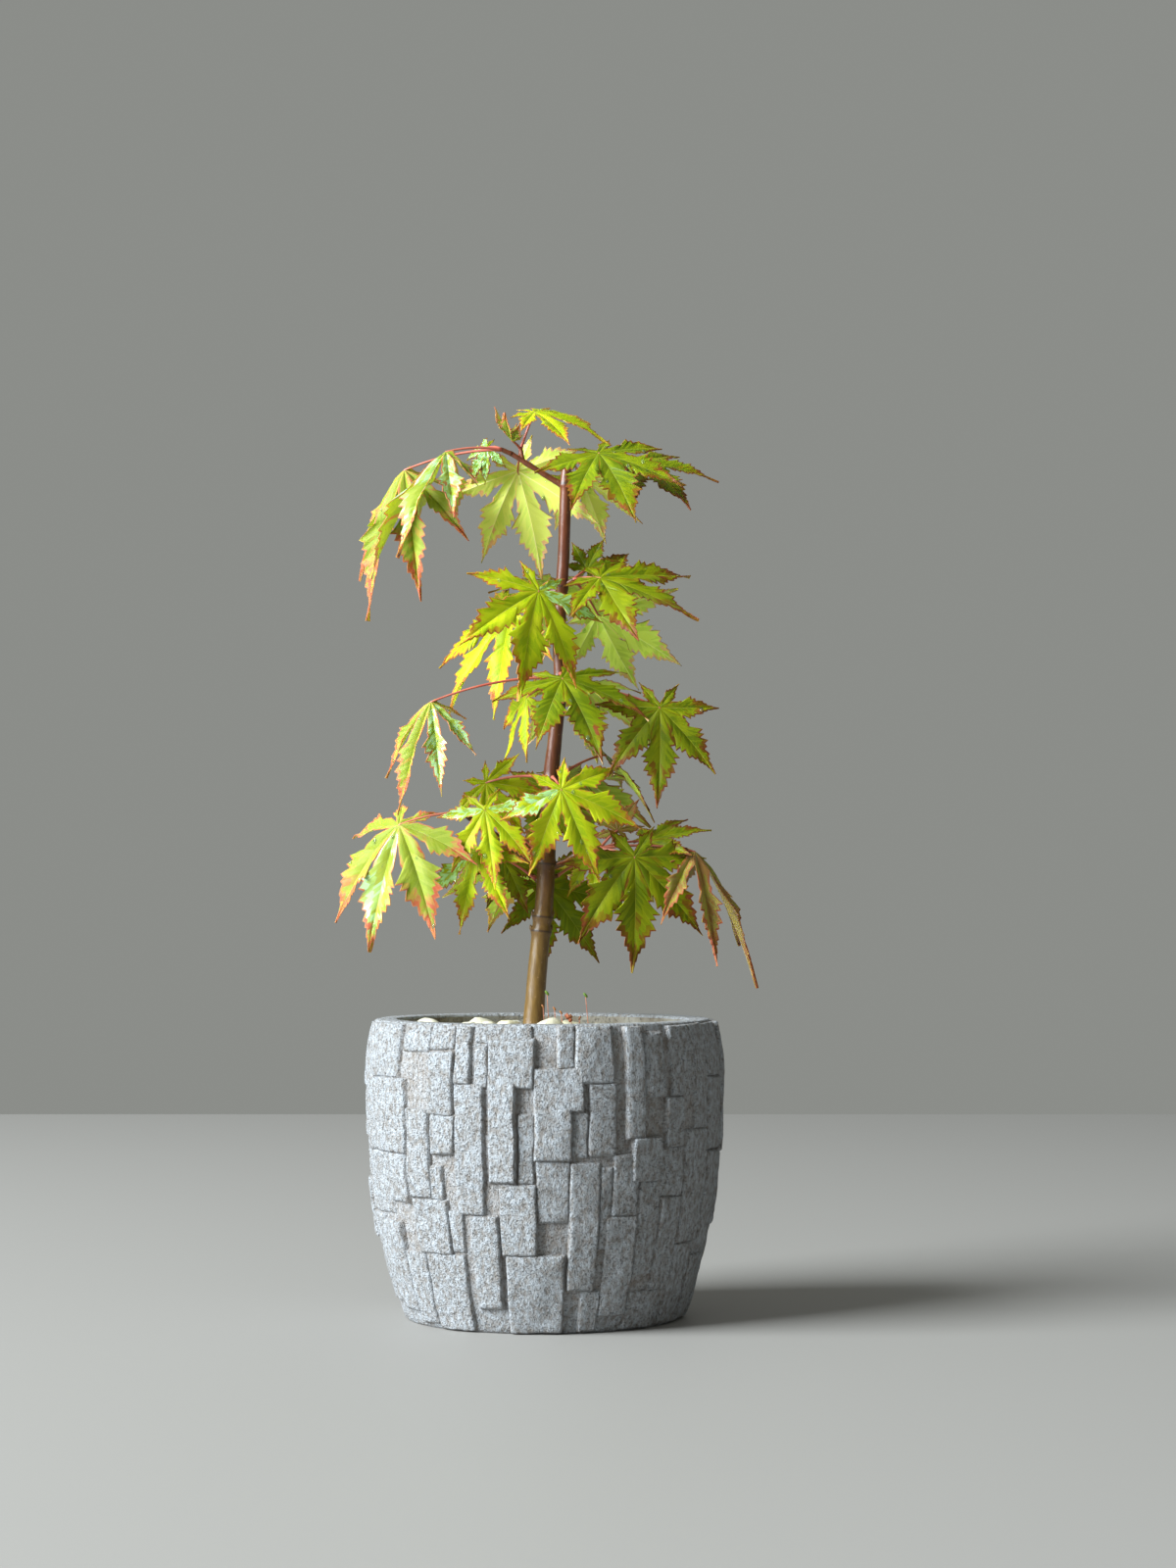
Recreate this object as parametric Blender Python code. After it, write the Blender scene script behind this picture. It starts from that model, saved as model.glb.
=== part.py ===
"""Potted Japanese maple: a young tree in a cast concrete pot.

The frame is in metres with +Z up and the front towards -Y. The origin is the centre of the pot's
flat underside. Sizes and places below are in millimetres where they are multiplied by MM.
"""

import math
import random
from collections import namedtuple

import bmesh
import bpy
from mathutils import Matrix, Vector
from mathutils.bvhtree import BVHTree

MM = 0.001
CLEAR = 0.3 * MM  # gap between neighbouring pieces
MERGE = 0.001 * MM
DOWN = Vector((0, 0, -1))
SMOOTH_ANGLE = 50

# Colour and roughness of each kind of piece
CONCRETE = ((0.56, 0.56, 0.57), 0.9)
LOAM = ((0.09, 0.06, 0.04), 0.95)
PALE_STONE = ((0.74, 0.71, 0.6), 0.55)
BARK = ((0.2, 0.1, 0.06), 0.6)
LEAF_GREEN = ((0.3, 0.5, 0.06), 0.5)

# Pot: a turned body, open at the top, with flat slabs standing out of its wall
POT_HEIGHT = 107 * MM
BELLY_HEIGHT = 82 * MM
BELLY_RADIUS = 63.2 * MM
FOOT_RADIUS = 49.3 * MM
RIM_RADIUS = 60.6 * MM
RIM_ROUNDING = 0.8 * MM
FOOT_POWER = 2.2  # how the wall draws in below the belly
RIM_POWER = 2.4  # and above it
INNER_RADIUS = 52.4 * MM
WALL = 8.2 * MM
FLOOR_HEIGHT = 11 * MM
INNER_HEIGHTS = (FLOOR_HEIGHT, 27 * MM, 45 * MM)  # where the inner wall widens from the floor
FACET = 9  # degrees of the pot's circle to each flat
ROW = 27 * MM  # height of each flat of the wall
SLAB_ROOT = 1.5 * MM  # how deep a slab is sunk in the wall
SLAB_SHIFT = 0.013  # degrees, so that no two slabs share a side's plane

# Slabs seen from the front: left and right side in degrees round from the front, lower and upper
# end and height above the wall in mm
FRONT_SLABS = (
    (-78, -71, 66, 106, 1.1),
    (-70, -51.5, 88, 106.4, 1.4),
    (-49.5, -38, 97.5, 106.5, 0.9),
    (-37, -28.5, 76, 97, 2.1),
    (-37.2, -28.8, 98.5, 106.2, 1.0),
    (-27.5, -22.6, 87, 106.4, 1.6),
    (-20.4, -3, 101, 106.3, 1.0),
    (-20.6, -17, 86, 100.2, 1.0),
    (-16, -2.2, 85.6, 101.5, 1.9),
    (5.8, 10.6, 92.2, 106.6, 1.3),
    (11.4, 23.2, 87.2, 106.5, 1.6),
    (28, 33.8, 68, 106.3, 1.9),
    (34.4, 42, 82, 103.5, 1.4),
    (45.5, 56.8, 82, 106.2, 1.2),
    (57.6, 66, 70, 106.4, 0.9),
    (66.8, 79, 88, 106.2, 1.2),
    (-72, -48.2, 62, 87, 1.9),
    (-46.6, -37.6, 47, 77, 2.0),
    (-36, -27.8, 62.6, 75.4, 2.3),
    (-27.2, -18.2, 42.2, 86, 1.7),
    (-15.8, -8, 53.2, 86.4, 2.4),
    (-6.6, -2.2, 53, 76.2, 1.1),
    (-1.6, 13, 77.8, 91.7, 1.8),
    (-1.4, 9.4, 61, 78.2, 2.4),
    (10, 14.6, 62, 77.2, 1.0),
    (15.6, 23.8, 62.6, 86.4, 1.5),
    (23.9, 32.4, 41.4, 62, 1.2),
    (30.4, 40.6, 53.2, 67.4, 2.2),
    (43, 50.6, 64.6, 81, 1.9),
    (41.2, 51.4, 47.2, 63.8, 1.1),
    (67.2, 79, 62, 86.8, 1.6),
    (-76, -58, 40.2, 61.4, 1.2),
    (-57.2, -48.4, 44.8, 61, 1.7),
    (-39, -33, 46.6, 57.8, 1.3),
    (-45, -31.8, 27.8, 45.8, 1.9),
    (-31, -26.4, 28.6, 42.4, 1.1),
    (-12.6, -1.6, 28.2, 52, 2.0),
    (-0.8, 9.2, 39.6, 60.2, 1.2),
    (9.8, 18.8, 15.8, 59.4, 1.8),
    (19.6, 23, 30, 58, 1.0),
    (-23, -14, 9.2, 41, 1.8),
    (-11.2, 8, 0.8, 27.4, 2.1),
    (-42.6, -26.8, 0.9, 27.2, 1.5),
    (22, 32.8, 6.4, 40.4, 1.5),
    (33.6, 42, 20.4, 52.4, 1.0),
    (14.8, 21.4, 1, 15, 1.3),
    (-79, -66, 8.4, 38.8, 1.3),
    (-65, -54.2, 6, 37.2, 1.7),
    (-53.4, -44, 2.2, 27, 1.3),
    (42.8, 52, 14.4, 46.2, 1.5),
    (53, 66, 30.2, 69, 1.3),
    (67, 79, 25.2, 60.6, 1.7),
    (34, 48, 0.9, 13.6, 1.2),
    (53, 65, 1.1, 29, 0.9),
    (66.4, 79, 1.2, 24, 1.3),
)
BACK_FROM = 80.2  # degrees, where the side's and back's slabs start
BACK_TO = 280.6
BACK_WIDTHS = (10, 18)
BACK_HEIGHTS = (20, 48)
BACK_STEPS = (0.9, 1.2, 1.5, 1.8, 2.2, 0, 0)  # mm, where 0 leaves the bare wall
BACK_TOPS = (105.8, 106.6)
BACK_FEET = (0.8, 1.4)
GROOVES = (0.2, 1.4)  # mm between a slab and the one below it
COLUMN_GAPS = (0.3, 1.6)  # degrees between columns
SLAB_SEED = 11

# Soil, and the pebbles that cover it
SOIL_TOP = 98.5 * MM
SOIL_GAP = 0.4 * MM  # between the soil and the pot's inner wall
BED_THICKNESS = 2.2 * MM
BED_INNER = 8.5 * MM
BED_OUTER = 51.2 * MM
PEBBLES_SEEN = (  # across, back, length, width and height in mm
    (2.2, -12.6, 12.6, 10, 9.2),
    (-12.6, -6, 9.8, 8.4, 8.2),
    (-27.4, -8, 9.6, 8.2, 7.6),
    (-44.6, 2, 8.2, 7.4, 7.2),
    (19.4, -5, 8.2, 7.6, 7.0),
    (-19.4, 5, 8.4, 7, 6.8),
)
PEBBLE_LENGTHS = (8, 13)
PEBBLE_WIDTHS = (0.72, 0.92)  # shares of its length
PEBBLE_HEIGHTS = (0.48, 0.64)
PEBBLE_PACKING = 0.42  # least distance between two, as a share of both lengths
PEBBLE_TURN = 0.5
PEBBLE_COUNT = 24
PEBBLE_TRIES = 960
PEBBLE_SEED = 5
PEBBLE_SIDES = 6

# Trunk: across, back, height and thickness in mm from the flat cut on the soil to the tip
TRUNK_LINE = (
    (-3.8, 0, 98.8, 11.4),
    (-3.7, 0, 101.4, 9),
    (-3.3, 0, 106.5, 7.6),
    (-1.8, 0.3, 126.7, 6.9),
    (0.5, 0.8, 150, 6.6),
    (1.2, 0.8, 163, 6.4),
    (2.8, 0.4, 193, 5.8),
    (4.4, -0.2, 209, 5.1),
    (6.3, -0.4, 229, 5),
    (5.8, -0.2, 245, 4.6),
    (7.4, 0.2, 275, 4.3),
    (8.2, 0.4, 301, 4.1),
    (8.3, 0.5, 306.5, 3.2),
)
TRUNK_SPACING = 7 * MM
TRUNK_NODES = (138, 143.5, 163, 193, 229, 263.5, 301)  # heights of the leaf scars
NODE_SWELL = 0.16
NODE_REACH = 1.7 * MM
TRUNK_SIDES = 10

# Boughs: across, back, height and thickness in mm, from the trunk's axis to the tip
BOUGH_LINES = {
    "bough_lower_left": (
        (1.2, 0.8, 160.5, 3),
        (-6, 0, 165.2, 2.3),
        (-16.7, -1.5, 172.9, 1.9),
        (-27, -3, 179.6, 1.7),
    ),
    "bough_lower_right": (
        (1.2, 0.8, 161, 3),
        (8, 0, 163.6, 2.3),
        (13, -0.6, 166.6, 2.1),
        (18.3, -1, 167.4, 2),
    ),
    "bough_top_left": (
        (8.2, 0.4, 300, 2.8),
        (2.4, 0, 303.4, 2),
        (-3.6, -0.8, 307, 1.9),
        (-12, -1.6, 312.2, 1.7),
    ),
}
BOUGH_SPACING = 3.5 * MM
BOUGH_SIDES = 8

# Leaf blade: seven toothed lobes that meet at the leaf stalk. Along and out are parts of the
# lobe's length.
LOBE_ANGLES = (-142, -92, -44, 0, 44, 92, 142)
LOBE_SIZES = (0.34, 0.64, 0.88, 1, 0.88, 0.64, 0.34)
SINUS = 0.33  # how far out the lobes part, as a share of the shorter lobe
BASE_NOTCH = 0.05
RIB = (0.38, 0.7)
MARGIN = ((0.44, 0.125), (0.6, 0.195), (0.63, 0.13), (0.78, 0.125), (0.81, 0.065))
SHORT_MARGIN = ((0.46, 0.13), (0.62, 0.18), (0.66, 0.12))
SMALL_RIB = (0.45,)
SMALL_MARGIN = ((0.5, 0.17), (0.74, 0.11))
LEAF_THICKNESS = 1.0 * MM
FOLD = 11  # degrees that each half of a lobe rises from its rib
CUP_FOLD = 0.5  # and more in a leaf that is closed like an umbrella
HANG_LEAST = 0.1  # share of the pull on a lobe that points straight back
HANG_CURL = 0.3  # how much the pull also curls a lobe away from the leaf's face
LOBE_STEPS = 10
ANGLE_PLAY = 4
SIZE_PLAY = 0.06
STALK_RADIUS = 0.55 * MM
STEM_RADIUS = 0.95 * MM
STEM_TAPER = 0.8
STALK_SIDES = 4
STALK_TAPER = 0.4  # how much thinner a stalk is at the blade
STALK_SINK = 1.6 * MM  # how far a stalk runs on into the blade
STALK_ARCH = 0.1  # rise of a stalk's middle as a share of its length
STALK_STATIONS = 4

# A leaf: where its stalk meets the blade (mm), length of its middle lobe (mm), where that lobe
# points, which way the blade faces, how far the lobes close like an umbrella (degrees), how hard
# they hang down, and how broad the lobes are
Leaf = namedtuple("Leaf", "place length aim face cup hang broad")

# A mass: the limb it grows from, the root on that limb's axis, the stem's end, and its leaves
Mass = namedtuple("Mass", "limb root stem leaves")

MASSES = {
    "foliage_top_left": Mass("bough_top_left", (-11.4, -1.6, 311.8), (-15, -2.6, 313.3), (
        Leaf((-50.8, 4, 306.7), 57, (-0.7, -0.4, -0.5), (-0.4, -0.5, 0.75), 42, 1.0, 0.66),
        Leaf((-35.1, -8, 311.7), 54, (-1, 0, -0.1), (-0.1, -0.1, 1), 42, 0.9, 0.74),
    )),
    "foliage_top_crown": Mass("bough_top_left", (-7.6, -1.2, 309.7), (-8.2, 1.4, 314), (
        Leaf((-9.6, 12, 307.5), 42, (0.3, 0.1, -0.95), (0.1, 0.95, 0.3), 10, 0.2, 0.85),
        Leaf((-10.7, -3, 316.7), 12, (0.35, -0.1, 0.9), (0.2, -0.9, 0.2), 15, 0.1, 0.8),
        Leaf((-3.2, 2, 327.5), 30, (0.95, -0.15, -0.1), (0, -0.35, 0.9), 5, 0.6, 0.85),
    )),
    "foliage_top_right": Mass("trunk", (8.2, 0.4, 304), (10.4, -1.2, 308.4), (
        Leaf((20.2, -9, 311), 40, (0.36, -0.75, -0.56), (0, -0.6, 0.8), 5, 0.4, 0.9),
        Leaf((33, 12, 311), 38, (0.64, -0.69, -0.32), (0, -0.42, 0.9), 5, 0.4, 0.8),
        Leaf((13.4, 16, 306), 34, (0.35, 0.75, -0.4), (0.1, 0.2, 0.9), 10, 0.5, 0.9),
    )),
    "foliage_mid_left": Mass("trunk", (6.8, 0, 263.5), (2.6, -3.2, 265), (
        Leaf((-1.4, -17, 260.2), 43, (-0.12, -0.5, -0.8), (0.4, -0.75, 0.5), 5, 0.6, 0.85),
    )),
    "foliage_mid_reach": Mass("trunk", (6.8, 0, 262), (1.6, 2.6, 262.5), (
        Leaf((-12.1, 8, 254.9), 47, (-0.75, 0, -0.65), (-0.3, -0.6, 0.7), 12, 0.6, 0.75),
    )),
    "foliage_mid_right": Mass("trunk", (6.8, 0, 263.5), (11, -1.5, 266), (
        Leaf((20.6, -4, 266.3), 41, (0.91, -0.33, -0.25), (0, -0.6, 0.8), 5, 0.3, 0.9),
        Leaf((19.9, 16, 254.9), 38, (0.92, 0.15, -0.38), (0, 0.85, 0.5), 5, 0.2, 0.9),
        Leaf((16, 3, 270), 15, (0.35, 0.3, 0.9), (0, -0.9, 0.3), 5, 0.2, 1),
    )),
    "foliage_mid_back": Mass("trunk", (6.8, 0.2, 265), (7.5, 5, 268), (
        Leaf((4, 24, 268), 42, (-0.1, 0.9, -0.3), (0, 0.4, 0.9), 10, 0.6, 0.9),
    )),
    "foliage_centre": Mass("trunk", (6.2, -0.4, 229), (6.4, -5, 231.5), (
        Leaf((7.1, -13, 229), 42, (0.42, -0.7, -0.55), (0, -0.6, 0.8), 5, 0.6, 0.85),
    )),
    "foliage_left_reach": Mass("trunk", (6.3, -0.4, 230.5), (2, -3.4, 230.2), (
        Leaf((-40.1, -12, 220.8), 42, (-0.7, -0.5, -0.5), (-0.2, -0.5, 0.8), 42, 0.9, 0.66),
    )),
    "foliage_centre_left": Mass("trunk", (6.2, -0.4, 228), (1.6, 2.4, 228.5), (
        Leaf((-6, 12, 224), 30, (-0.5, 0.3, -0.8), (-0.2, -0.5, 0.8), 10, 0.3, 0.9),
    )),
    "foliage_right_upper": Mass("trunk", (6.2, -0.4, 227), (10.6, -1.6, 227.5), (
        Leaf((42.2, -8, 219), 36, (0.03, -0.15, -1), (0.1, -1, 0.1), 5, 0.25, 0.85),
    )),
    "foliage_centre_back": Mass("trunk", (6.2, -0.4, 228.5), (6.5, 4.4, 230), (
        Leaf((12, 26, 230), 40, (0.2, 0.9, -0.4), (0, 0.4, 0.9), 10, 0.6, 0.9),
    )),
    "foliage_lower_centre": Mass("trunk", (2.8, 0.4, 193), (3.6, -5, 194), (
        Leaf((6.7, -14, 189.2), 38, (0.46, -0.2, -0.87), (0.05, -0.85, 0.5), 5, 0.4, 0.9),
    )),
    "foliage_right_inner": Mass("trunk", (2.8, 0.4, 194), (7.2, 2, 195.5), (
        Leaf((22.9, 18, 203.2), 32, (0.65, 0.4, -0.6), (0, -0.3, 0.95), 5, 0.3, 0.85),
    )),
    "foliage_left_inner": Mass("trunk", (2.8, 0.4, 193.5), (-1.8, -0.5, 194.5), (
        Leaf((-20.8, 3.5, 192.4), 25, (0.66, 0, -0.72), (0, -1, 0.1), 4, 0.3, 0.9),
    )),
    "foliage_left_behind": Mass("trunk", (2.8, 0.4, 191), (0, 4.4, 190.6), (
        Leaf((2.8, 13, 190), 27, (-0.4, 0.05, -0.9), (0, -0.95, 0.2), 0, 0.2, 0.9),
    )),
    "foliage_lower_back": Mass("trunk", (2.8, 0.4, 192.5), (3.6, 5.4, 194), (
        Leaf((9, 28, 196), 42, (0.3, 0.8, -0.4), (0, 0.4, 0.9), 10, 0.6, 0.9),
    )),
    "foliage_lower_left": Mass("bough_lower_left", (-26.4, -2.9, 179.2), (-29.5, -3.4, 181.2), (
        Leaf((-51.8, -6, 176.8), 50, (-0.45, -0.4, -0.8), (-0.3, -0.65, 0.7), 20, 1.0, 0.72),
    )),
    "foliage_left_low": Mass("trunk", (1.2, 0.8, 164), (-2.6, -2.2, 167.5), (
        Leaf((-20.8, -10, 182), 30, (0.12, -0.3, -0.9), (-0.1, -0.9, 0.4), 10, 0.4, 0.8),
        Leaf((-23.8, -6, 167.2), 31, (-0.28, -0.15, -0.95), (-0.3, -0.8, 0.5), 12, 0.3, 0.75),
    )),
    "foliage_right_low": Mass("bough_lower_right", (17.8, -1, 167.3), (20.5, -1.6, 168.2), (
        Leaf((33, -8, 165.1), 43, (0.08, -0.1, -1), (0.25, -0.95, 0.15), 5, 0.2, 0.95),
        Leaf((37.6, 5, 171), 24, (0.9, -0.1, 0.3), (0, -0.5, 0.85), 5, 0.3, 0.9),
        Leaf((55, 0, 167.2), 54, (0.9, -0.1, -0.4), (0.4, -0.3, 0.85), 34, 0.9, 0.55),
        Leaf((27, 3, 175), 16, (-0.2, -0.1, 0.9), (0, -0.8, 0.3), 5, 0.3, 0.9),
    )),
    "foliage_right_under": Mass("trunk", (1, 0.8, 157.5), (5.2, 2.8, 158.5), (
        Leaf((17.8, 5, 165), 17, (-0.6, 0.1, -0.75), (-0.1, -0.9, 0.3), 5, 0.2, 0.9),
    )),
    "foliage_under_right": Mass("trunk", (0.8, 0.8, 151), (2.6, 5.4, 153), (
        Leaf((0.7, 12, 154.4), 36, (0.66, 0.1, -0.72), (0, -0.95, 0.3), 4, 0.4, 0.8),
    )),
    "foliage_under_back": Mass("trunk", (0.8, 0.8, 155), (-2.6, 4.2, 157), (
        Leaf((-14.6, 5.5, 164.7), 22, (0.45, 0, -0.85), (0, -1, 0.1), 2, 0.1, 0.9),
        Leaf((-9, 26, 166), 38, (-0.4, 0.75, -0.5), (0, 0.5, 0.85), 10, 0.4, 0.9),
    )),
}


def clear_scene():
    """Removes whatever the new scene holds."""
    for item in list(bpy.data.objects):
        bpy.data.objects.remove(item, do_unlink=True)


def material(name, colour, roughness):
    """A plain material of one colour."""
    made = bpy.data.materials.new(name)
    made.use_nodes = True
    shader = made.node_tree.nodes["Principled BSDF"]
    shader.inputs["Base Color"].default_value = (*colour, 1)
    shader.inputs["Roughness"].default_value = roughness
    shader.inputs["Metallic"].default_value = 0
    return made


def new_object(name, bm):
    """Puts a bmesh into the scene as an object, with its faces pointing out."""
    bmesh.ops.remove_doubles(bm, verts=bm.verts, dist=MERGE)
    bmesh.ops.recalc_face_normals(bm, faces=bm.faces)
    mesh = bpy.data.meshes.new(name)
    bm.to_mesh(mesh)
    bm.free()
    made = bpy.data.objects.new(name, mesh)
    bpy.context.scene.collection.objects.link(made)
    return made


def finish(made, look, smooth_angle=None):
    """Gives a finished piece its own material, and smooth shading where it is round."""
    made.data.materials.clear()
    made.data.materials.append(material(made.name, *look))
    if smooth_angle:
        made.data.shade_smooth()
        made.data.set_sharp_from_angle(angle=math.radians(smooth_angle))
    return made


def apply_modifiers(made):
    """Swaps an object's mesh for the one that its modifiers give."""
    graph = bpy.context.evaluated_depsgraph_get()
    mesh = bpy.data.meshes.new_from_object(made.evaluated_get(graph))
    made.modifiers.clear()
    made.data = mesh


def union(body, others):
    """Joins the other objects to the body in one Boolean union and removes them."""
    group = bpy.data.collections.new("to_join")
    bpy.context.scene.collection.children.link(group)
    for item in others:
        group.objects.link(item)
    join = body.modifiers.new("join", "BOOLEAN")
    join.operation = "UNION"
    join.solver = "EXACT"
    join.operand_type = "COLLECTION"
    join.collection = group
    apply_modifiers(body)
    for item in others:
        bpy.data.objects.remove(item, do_unlink=True)
    bpy.data.collections.remove(group)
    return body


def cut(body, cutter):
    """Cuts one object out of another."""
    made = body.modifiers.new("cut", "BOOLEAN")
    made.operation = "DIFFERENCE"
    made.solver = "EXACT"
    made.object = cutter
    apply_modifiers(body)


def turned(name, profile):
    """Turns a profile of (radius, height) points round the Z axis into a closed body."""
    bm = bmesh.new()
    points = [bm.verts.new((radius, 0, height)) for radius, height in profile]
    edges = [bm.edges.new(pair) for pair in zip(points, points[1:])]
    bmesh.ops.spin(
        bm,
        geom=points + edges,
        cent=(0, 0, 0),
        axis=(0, 0, 1),
        angle=math.tau,
        steps=round(360 / FACET),
        use_merge=True,
        use_duplicate=False,
    )
    return new_object(name, bm)


def wall_radius(height):
    """Outer radius of the pot's bare wall at a height."""
    if height < BELLY_HEIGHT:
        fall = ((BELLY_HEIGHT - height) / BELLY_HEIGHT) ** FOOT_POWER
        return BELLY_RADIUS - (BELLY_RADIUS - FOOT_RADIUS) * fall
    fall = ((height - BELLY_HEIGHT) / (POT_HEIGHT - BELLY_HEIGHT)) ** RIM_POWER
    return BELLY_RADIUS - (BELLY_RADIUS - RIM_RADIUS) * fall


def inner_radius(height):
    """Radius of the pot's inside at a height, narrower near the floor."""
    return min(INNER_RADIUS, wall_radius(height) - WALL)


def marks_between(low, high, step):
    """The whole multiples of a step that lie between two values."""
    first = math.floor(low / step) + 1
    return [n * step for n in range(first, math.ceil(high / step))]


def slab(name, left, right, bottom, top, proud):
    """One flat slab wrapped onto the wall: a block in degrees, mm out and mm up, bent round."""
    bm = bmesh.new()
    bmesh.ops.create_cube(bm, size=1)
    middle = Vector(((left + right) / 2, (proud - SLAB_ROOT) / 2, (bottom + top) / 2))
    bmesh.ops.scale(bm, vec=(right - left, proud + SLAB_ROOT, top - bottom), verts=bm.verts)
    bmesh.ops.translate(bm, vec=middle, verts=bm.verts)
    cuts = [((angle, 0, 0), (1, 0, 0)) for angle in marks_between(left, right, FACET)]
    cuts += [((0, 0, height), (0, 0, 1)) for height in marks_between(bottom, top, ROW)]
    for place, across in cuts:
        everything = bm.verts[:] + bm.edges[:] + bm.faces[:]
        bmesh.ops.bisect_plane(bm, geom=everything, plane_co=place, plane_no=across, dist=MERGE)
    for vert in bm.verts:
        angle = math.radians(vert.co.x)
        radius = wall_radius(vert.co.z) + vert.co.y
        vert.co = (radius * math.sin(angle), -radius * math.cos(angle), vert.co.z)
    return new_object(name, bm)


def back_slabs():
    """Slabs for the sides and back: uneven columns, each cut into uneven blocks."""
    rng = random.Random(SLAB_SEED)
    blocks = []
    left = BACK_FROM
    while left < BACK_TO - BACK_WIDTHS[0]:
        right = min(left + rng.uniform(*BACK_WIDTHS), BACK_TO)
        top = rng.uniform(*BACK_TOPS)
        while top > BACK_HEIGHTS[0]:
            bottom = max(top - rng.uniform(*BACK_HEIGHTS), rng.uniform(*BACK_FEET))
            proud = rng.choice(BACK_STEPS)
            if proud:
                blocks.append((left, right, bottom, top, proud))
            top = bottom - rng.uniform(*GROOVES)
        left = right + rng.uniform(*COLUMN_GAPS)
    return blocks


def build_pot():
    """The pot's turned body with every slab joined on."""
    heights = [0.0] + marks_between(0, POT_HEIGHT - RIM_ROUNDING, ROW)
    profile = [(0, 0)] + [(wall_radius(height), height) for height in heights]
    profile += [
        (wall_radius(POT_HEIGHT - RIM_ROUNDING), POT_HEIGHT - RIM_ROUNDING),
        (RIM_RADIUS - RIM_ROUNDING, POT_HEIGHT),
        (INNER_RADIUS + RIM_ROUNDING, POT_HEIGHT),
        (INNER_RADIUS, POT_HEIGHT - RIM_ROUNDING),
    ]
    profile += [(inner_radius(height), height) for height in reversed(INNER_HEIGHTS)]
    profile.append((0, FLOOR_HEIGHT))
    body = turned("pot", profile)
    slabs = []
    for number, block in enumerate(list(FRONT_SLABS) + back_slabs()):
        left, right, bottom, top, proud = block
        shift = number * SLAB_SHIFT
        sides = (left + shift, right + shift)
        slabs.append(slab(f"slab_{number}", *sides, bottom * MM, top * MM, proud * MM))
    return finish(union(body, slabs), CONCRETE)


def build_soil():
    """The soil that fills the pot, flat on top."""
    rise = [max(height, FLOOR_HEIGHT + CLEAR) for height in INNER_HEIGHTS] + [SOIL_TOP]
    side = [(inner_radius(height) - SOIL_GAP, height) for height in rise]
    profile = [(0, rise[0])] + side + [(0, SOIL_TOP)]
    return finish(turned("soil", profile), LOAM, SMOOTH_ANGLE)


def pebble_places():
    """The pebbles' places and sizes: those that show over the rim, then a seeded scatter."""
    rng = random.Random(PEBBLE_SEED)
    places = [tuple(value * MM for value in pebble) for pebble in PEBBLES_SEEN]
    wanted = PEBBLE_COUNT + len(places)
    for _ in range(PEBBLE_TRIES):
        if len(places) == wanted:
            break
        length = rng.uniform(*PEBBLE_LENGTHS) * MM
        reach = math.sqrt(rng.uniform(0.03, 1)) * (BED_OUTER - length / 2)
        turn = rng.uniform(0, math.tau)
        x, y = reach * math.cos(turn), reach * math.sin(turn)
        near = any(
            math.hypot(x - other[0], y - other[1]) < PEBBLE_PACKING * (length + other[2])
            for other in places
        )
        at_trunk = math.hypot(x - TRUNK_LINE[0][0] * MM, y) < BED_INNER + length / 2
        if not near and not at_trunk:
            width = length * rng.uniform(*PEBBLE_WIDTHS)
            places.append((x, y, length, width, length * rng.uniform(*PEBBLE_HEIGHTS)))
    return places


def build_pebbles():
    """Rounded pebbles that stand out of a thin bed on the soil, open round the trunk."""
    rng = random.Random(PEBBLE_SEED)
    foot = SOIL_TOP + CLEAR
    bed = turned("pebbles", [
        (0, foot),
        (BED_OUTER, foot),
        (BED_OUTER, foot + BED_THICKNESS),
        (0, foot + BED_THICKNESS),
    ])
    stones = []
    for number, (x, y, length, width, height) in enumerate(pebble_places()):
        bm = bmesh.new()
        bmesh.ops.create_uvsphere(bm, u_segments=PEBBLE_SIDES, v_segments=4, radius=0.5)
        bmesh.ops.scale(bm, vec=(length, width, height), verts=bm.verts)
        turn = Matrix.Rotation(rng.uniform(-PEBBLE_TURN, PEBBLE_TURN), 3, "Z")
        bmesh.ops.rotate(bm, matrix=turn, verts=bm.verts)
        bmesh.ops.translate(bm, vec=(x, y, foot + height / 2), verts=bm.verts)
        stones.append(new_object(f"pebble_{number}", bm))
    joined = union(bed, stones)
    well = bmesh.new()
    bmesh.ops.create_cone(
        well, cap_ends=True, segments=20, radius1=BED_INNER, radius2=BED_INNER, depth=SOIL_TOP
    )
    across, back = TRUNK_LINE[0][0] * MM, TRUNK_LINE[0][1] * MM
    bmesh.ops.translate(well, vec=(across, back, foot), verts=well.verts)
    cutter = new_object("well", well)
    cut(joined, cutter)
    bpy.data.objects.remove(cutter, do_unlink=True)
    return finish(joined, PALE_STONE, SMOOTH_ANGLE)


def smooth_line(points, spacing):
    """Stations at about a spacing along a smooth curve through points of four values."""
    ends = [2 * points[0] - points[1]] + points + [2 * points[-1] - points[-2]]
    line = []
    for before, start, end, after in zip(ends, ends[1:], ends[2:], ends[3:]):
        count = max(1, round((end - start).to_3d().length / spacing))
        for n in range(count):
            t = n / count
            line.append(0.5 * (
                2 * start
                + t * (end - before)
                + t * t * (2 * before - 5 * start + 4 * end - after)
                + t * t * t * (3 * start - before - 3 * end + after)
            ))
    return line + [points[-1]]


def limb_line(rows, spacing):
    """Stations in metres, as x, y, z and radius, from rows in mm with a thickness."""
    points = [Vector((x, y, z, thickness / 2)) * MM for x, y, z, thickness in rows]
    return smooth_line(points, spacing)


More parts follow.
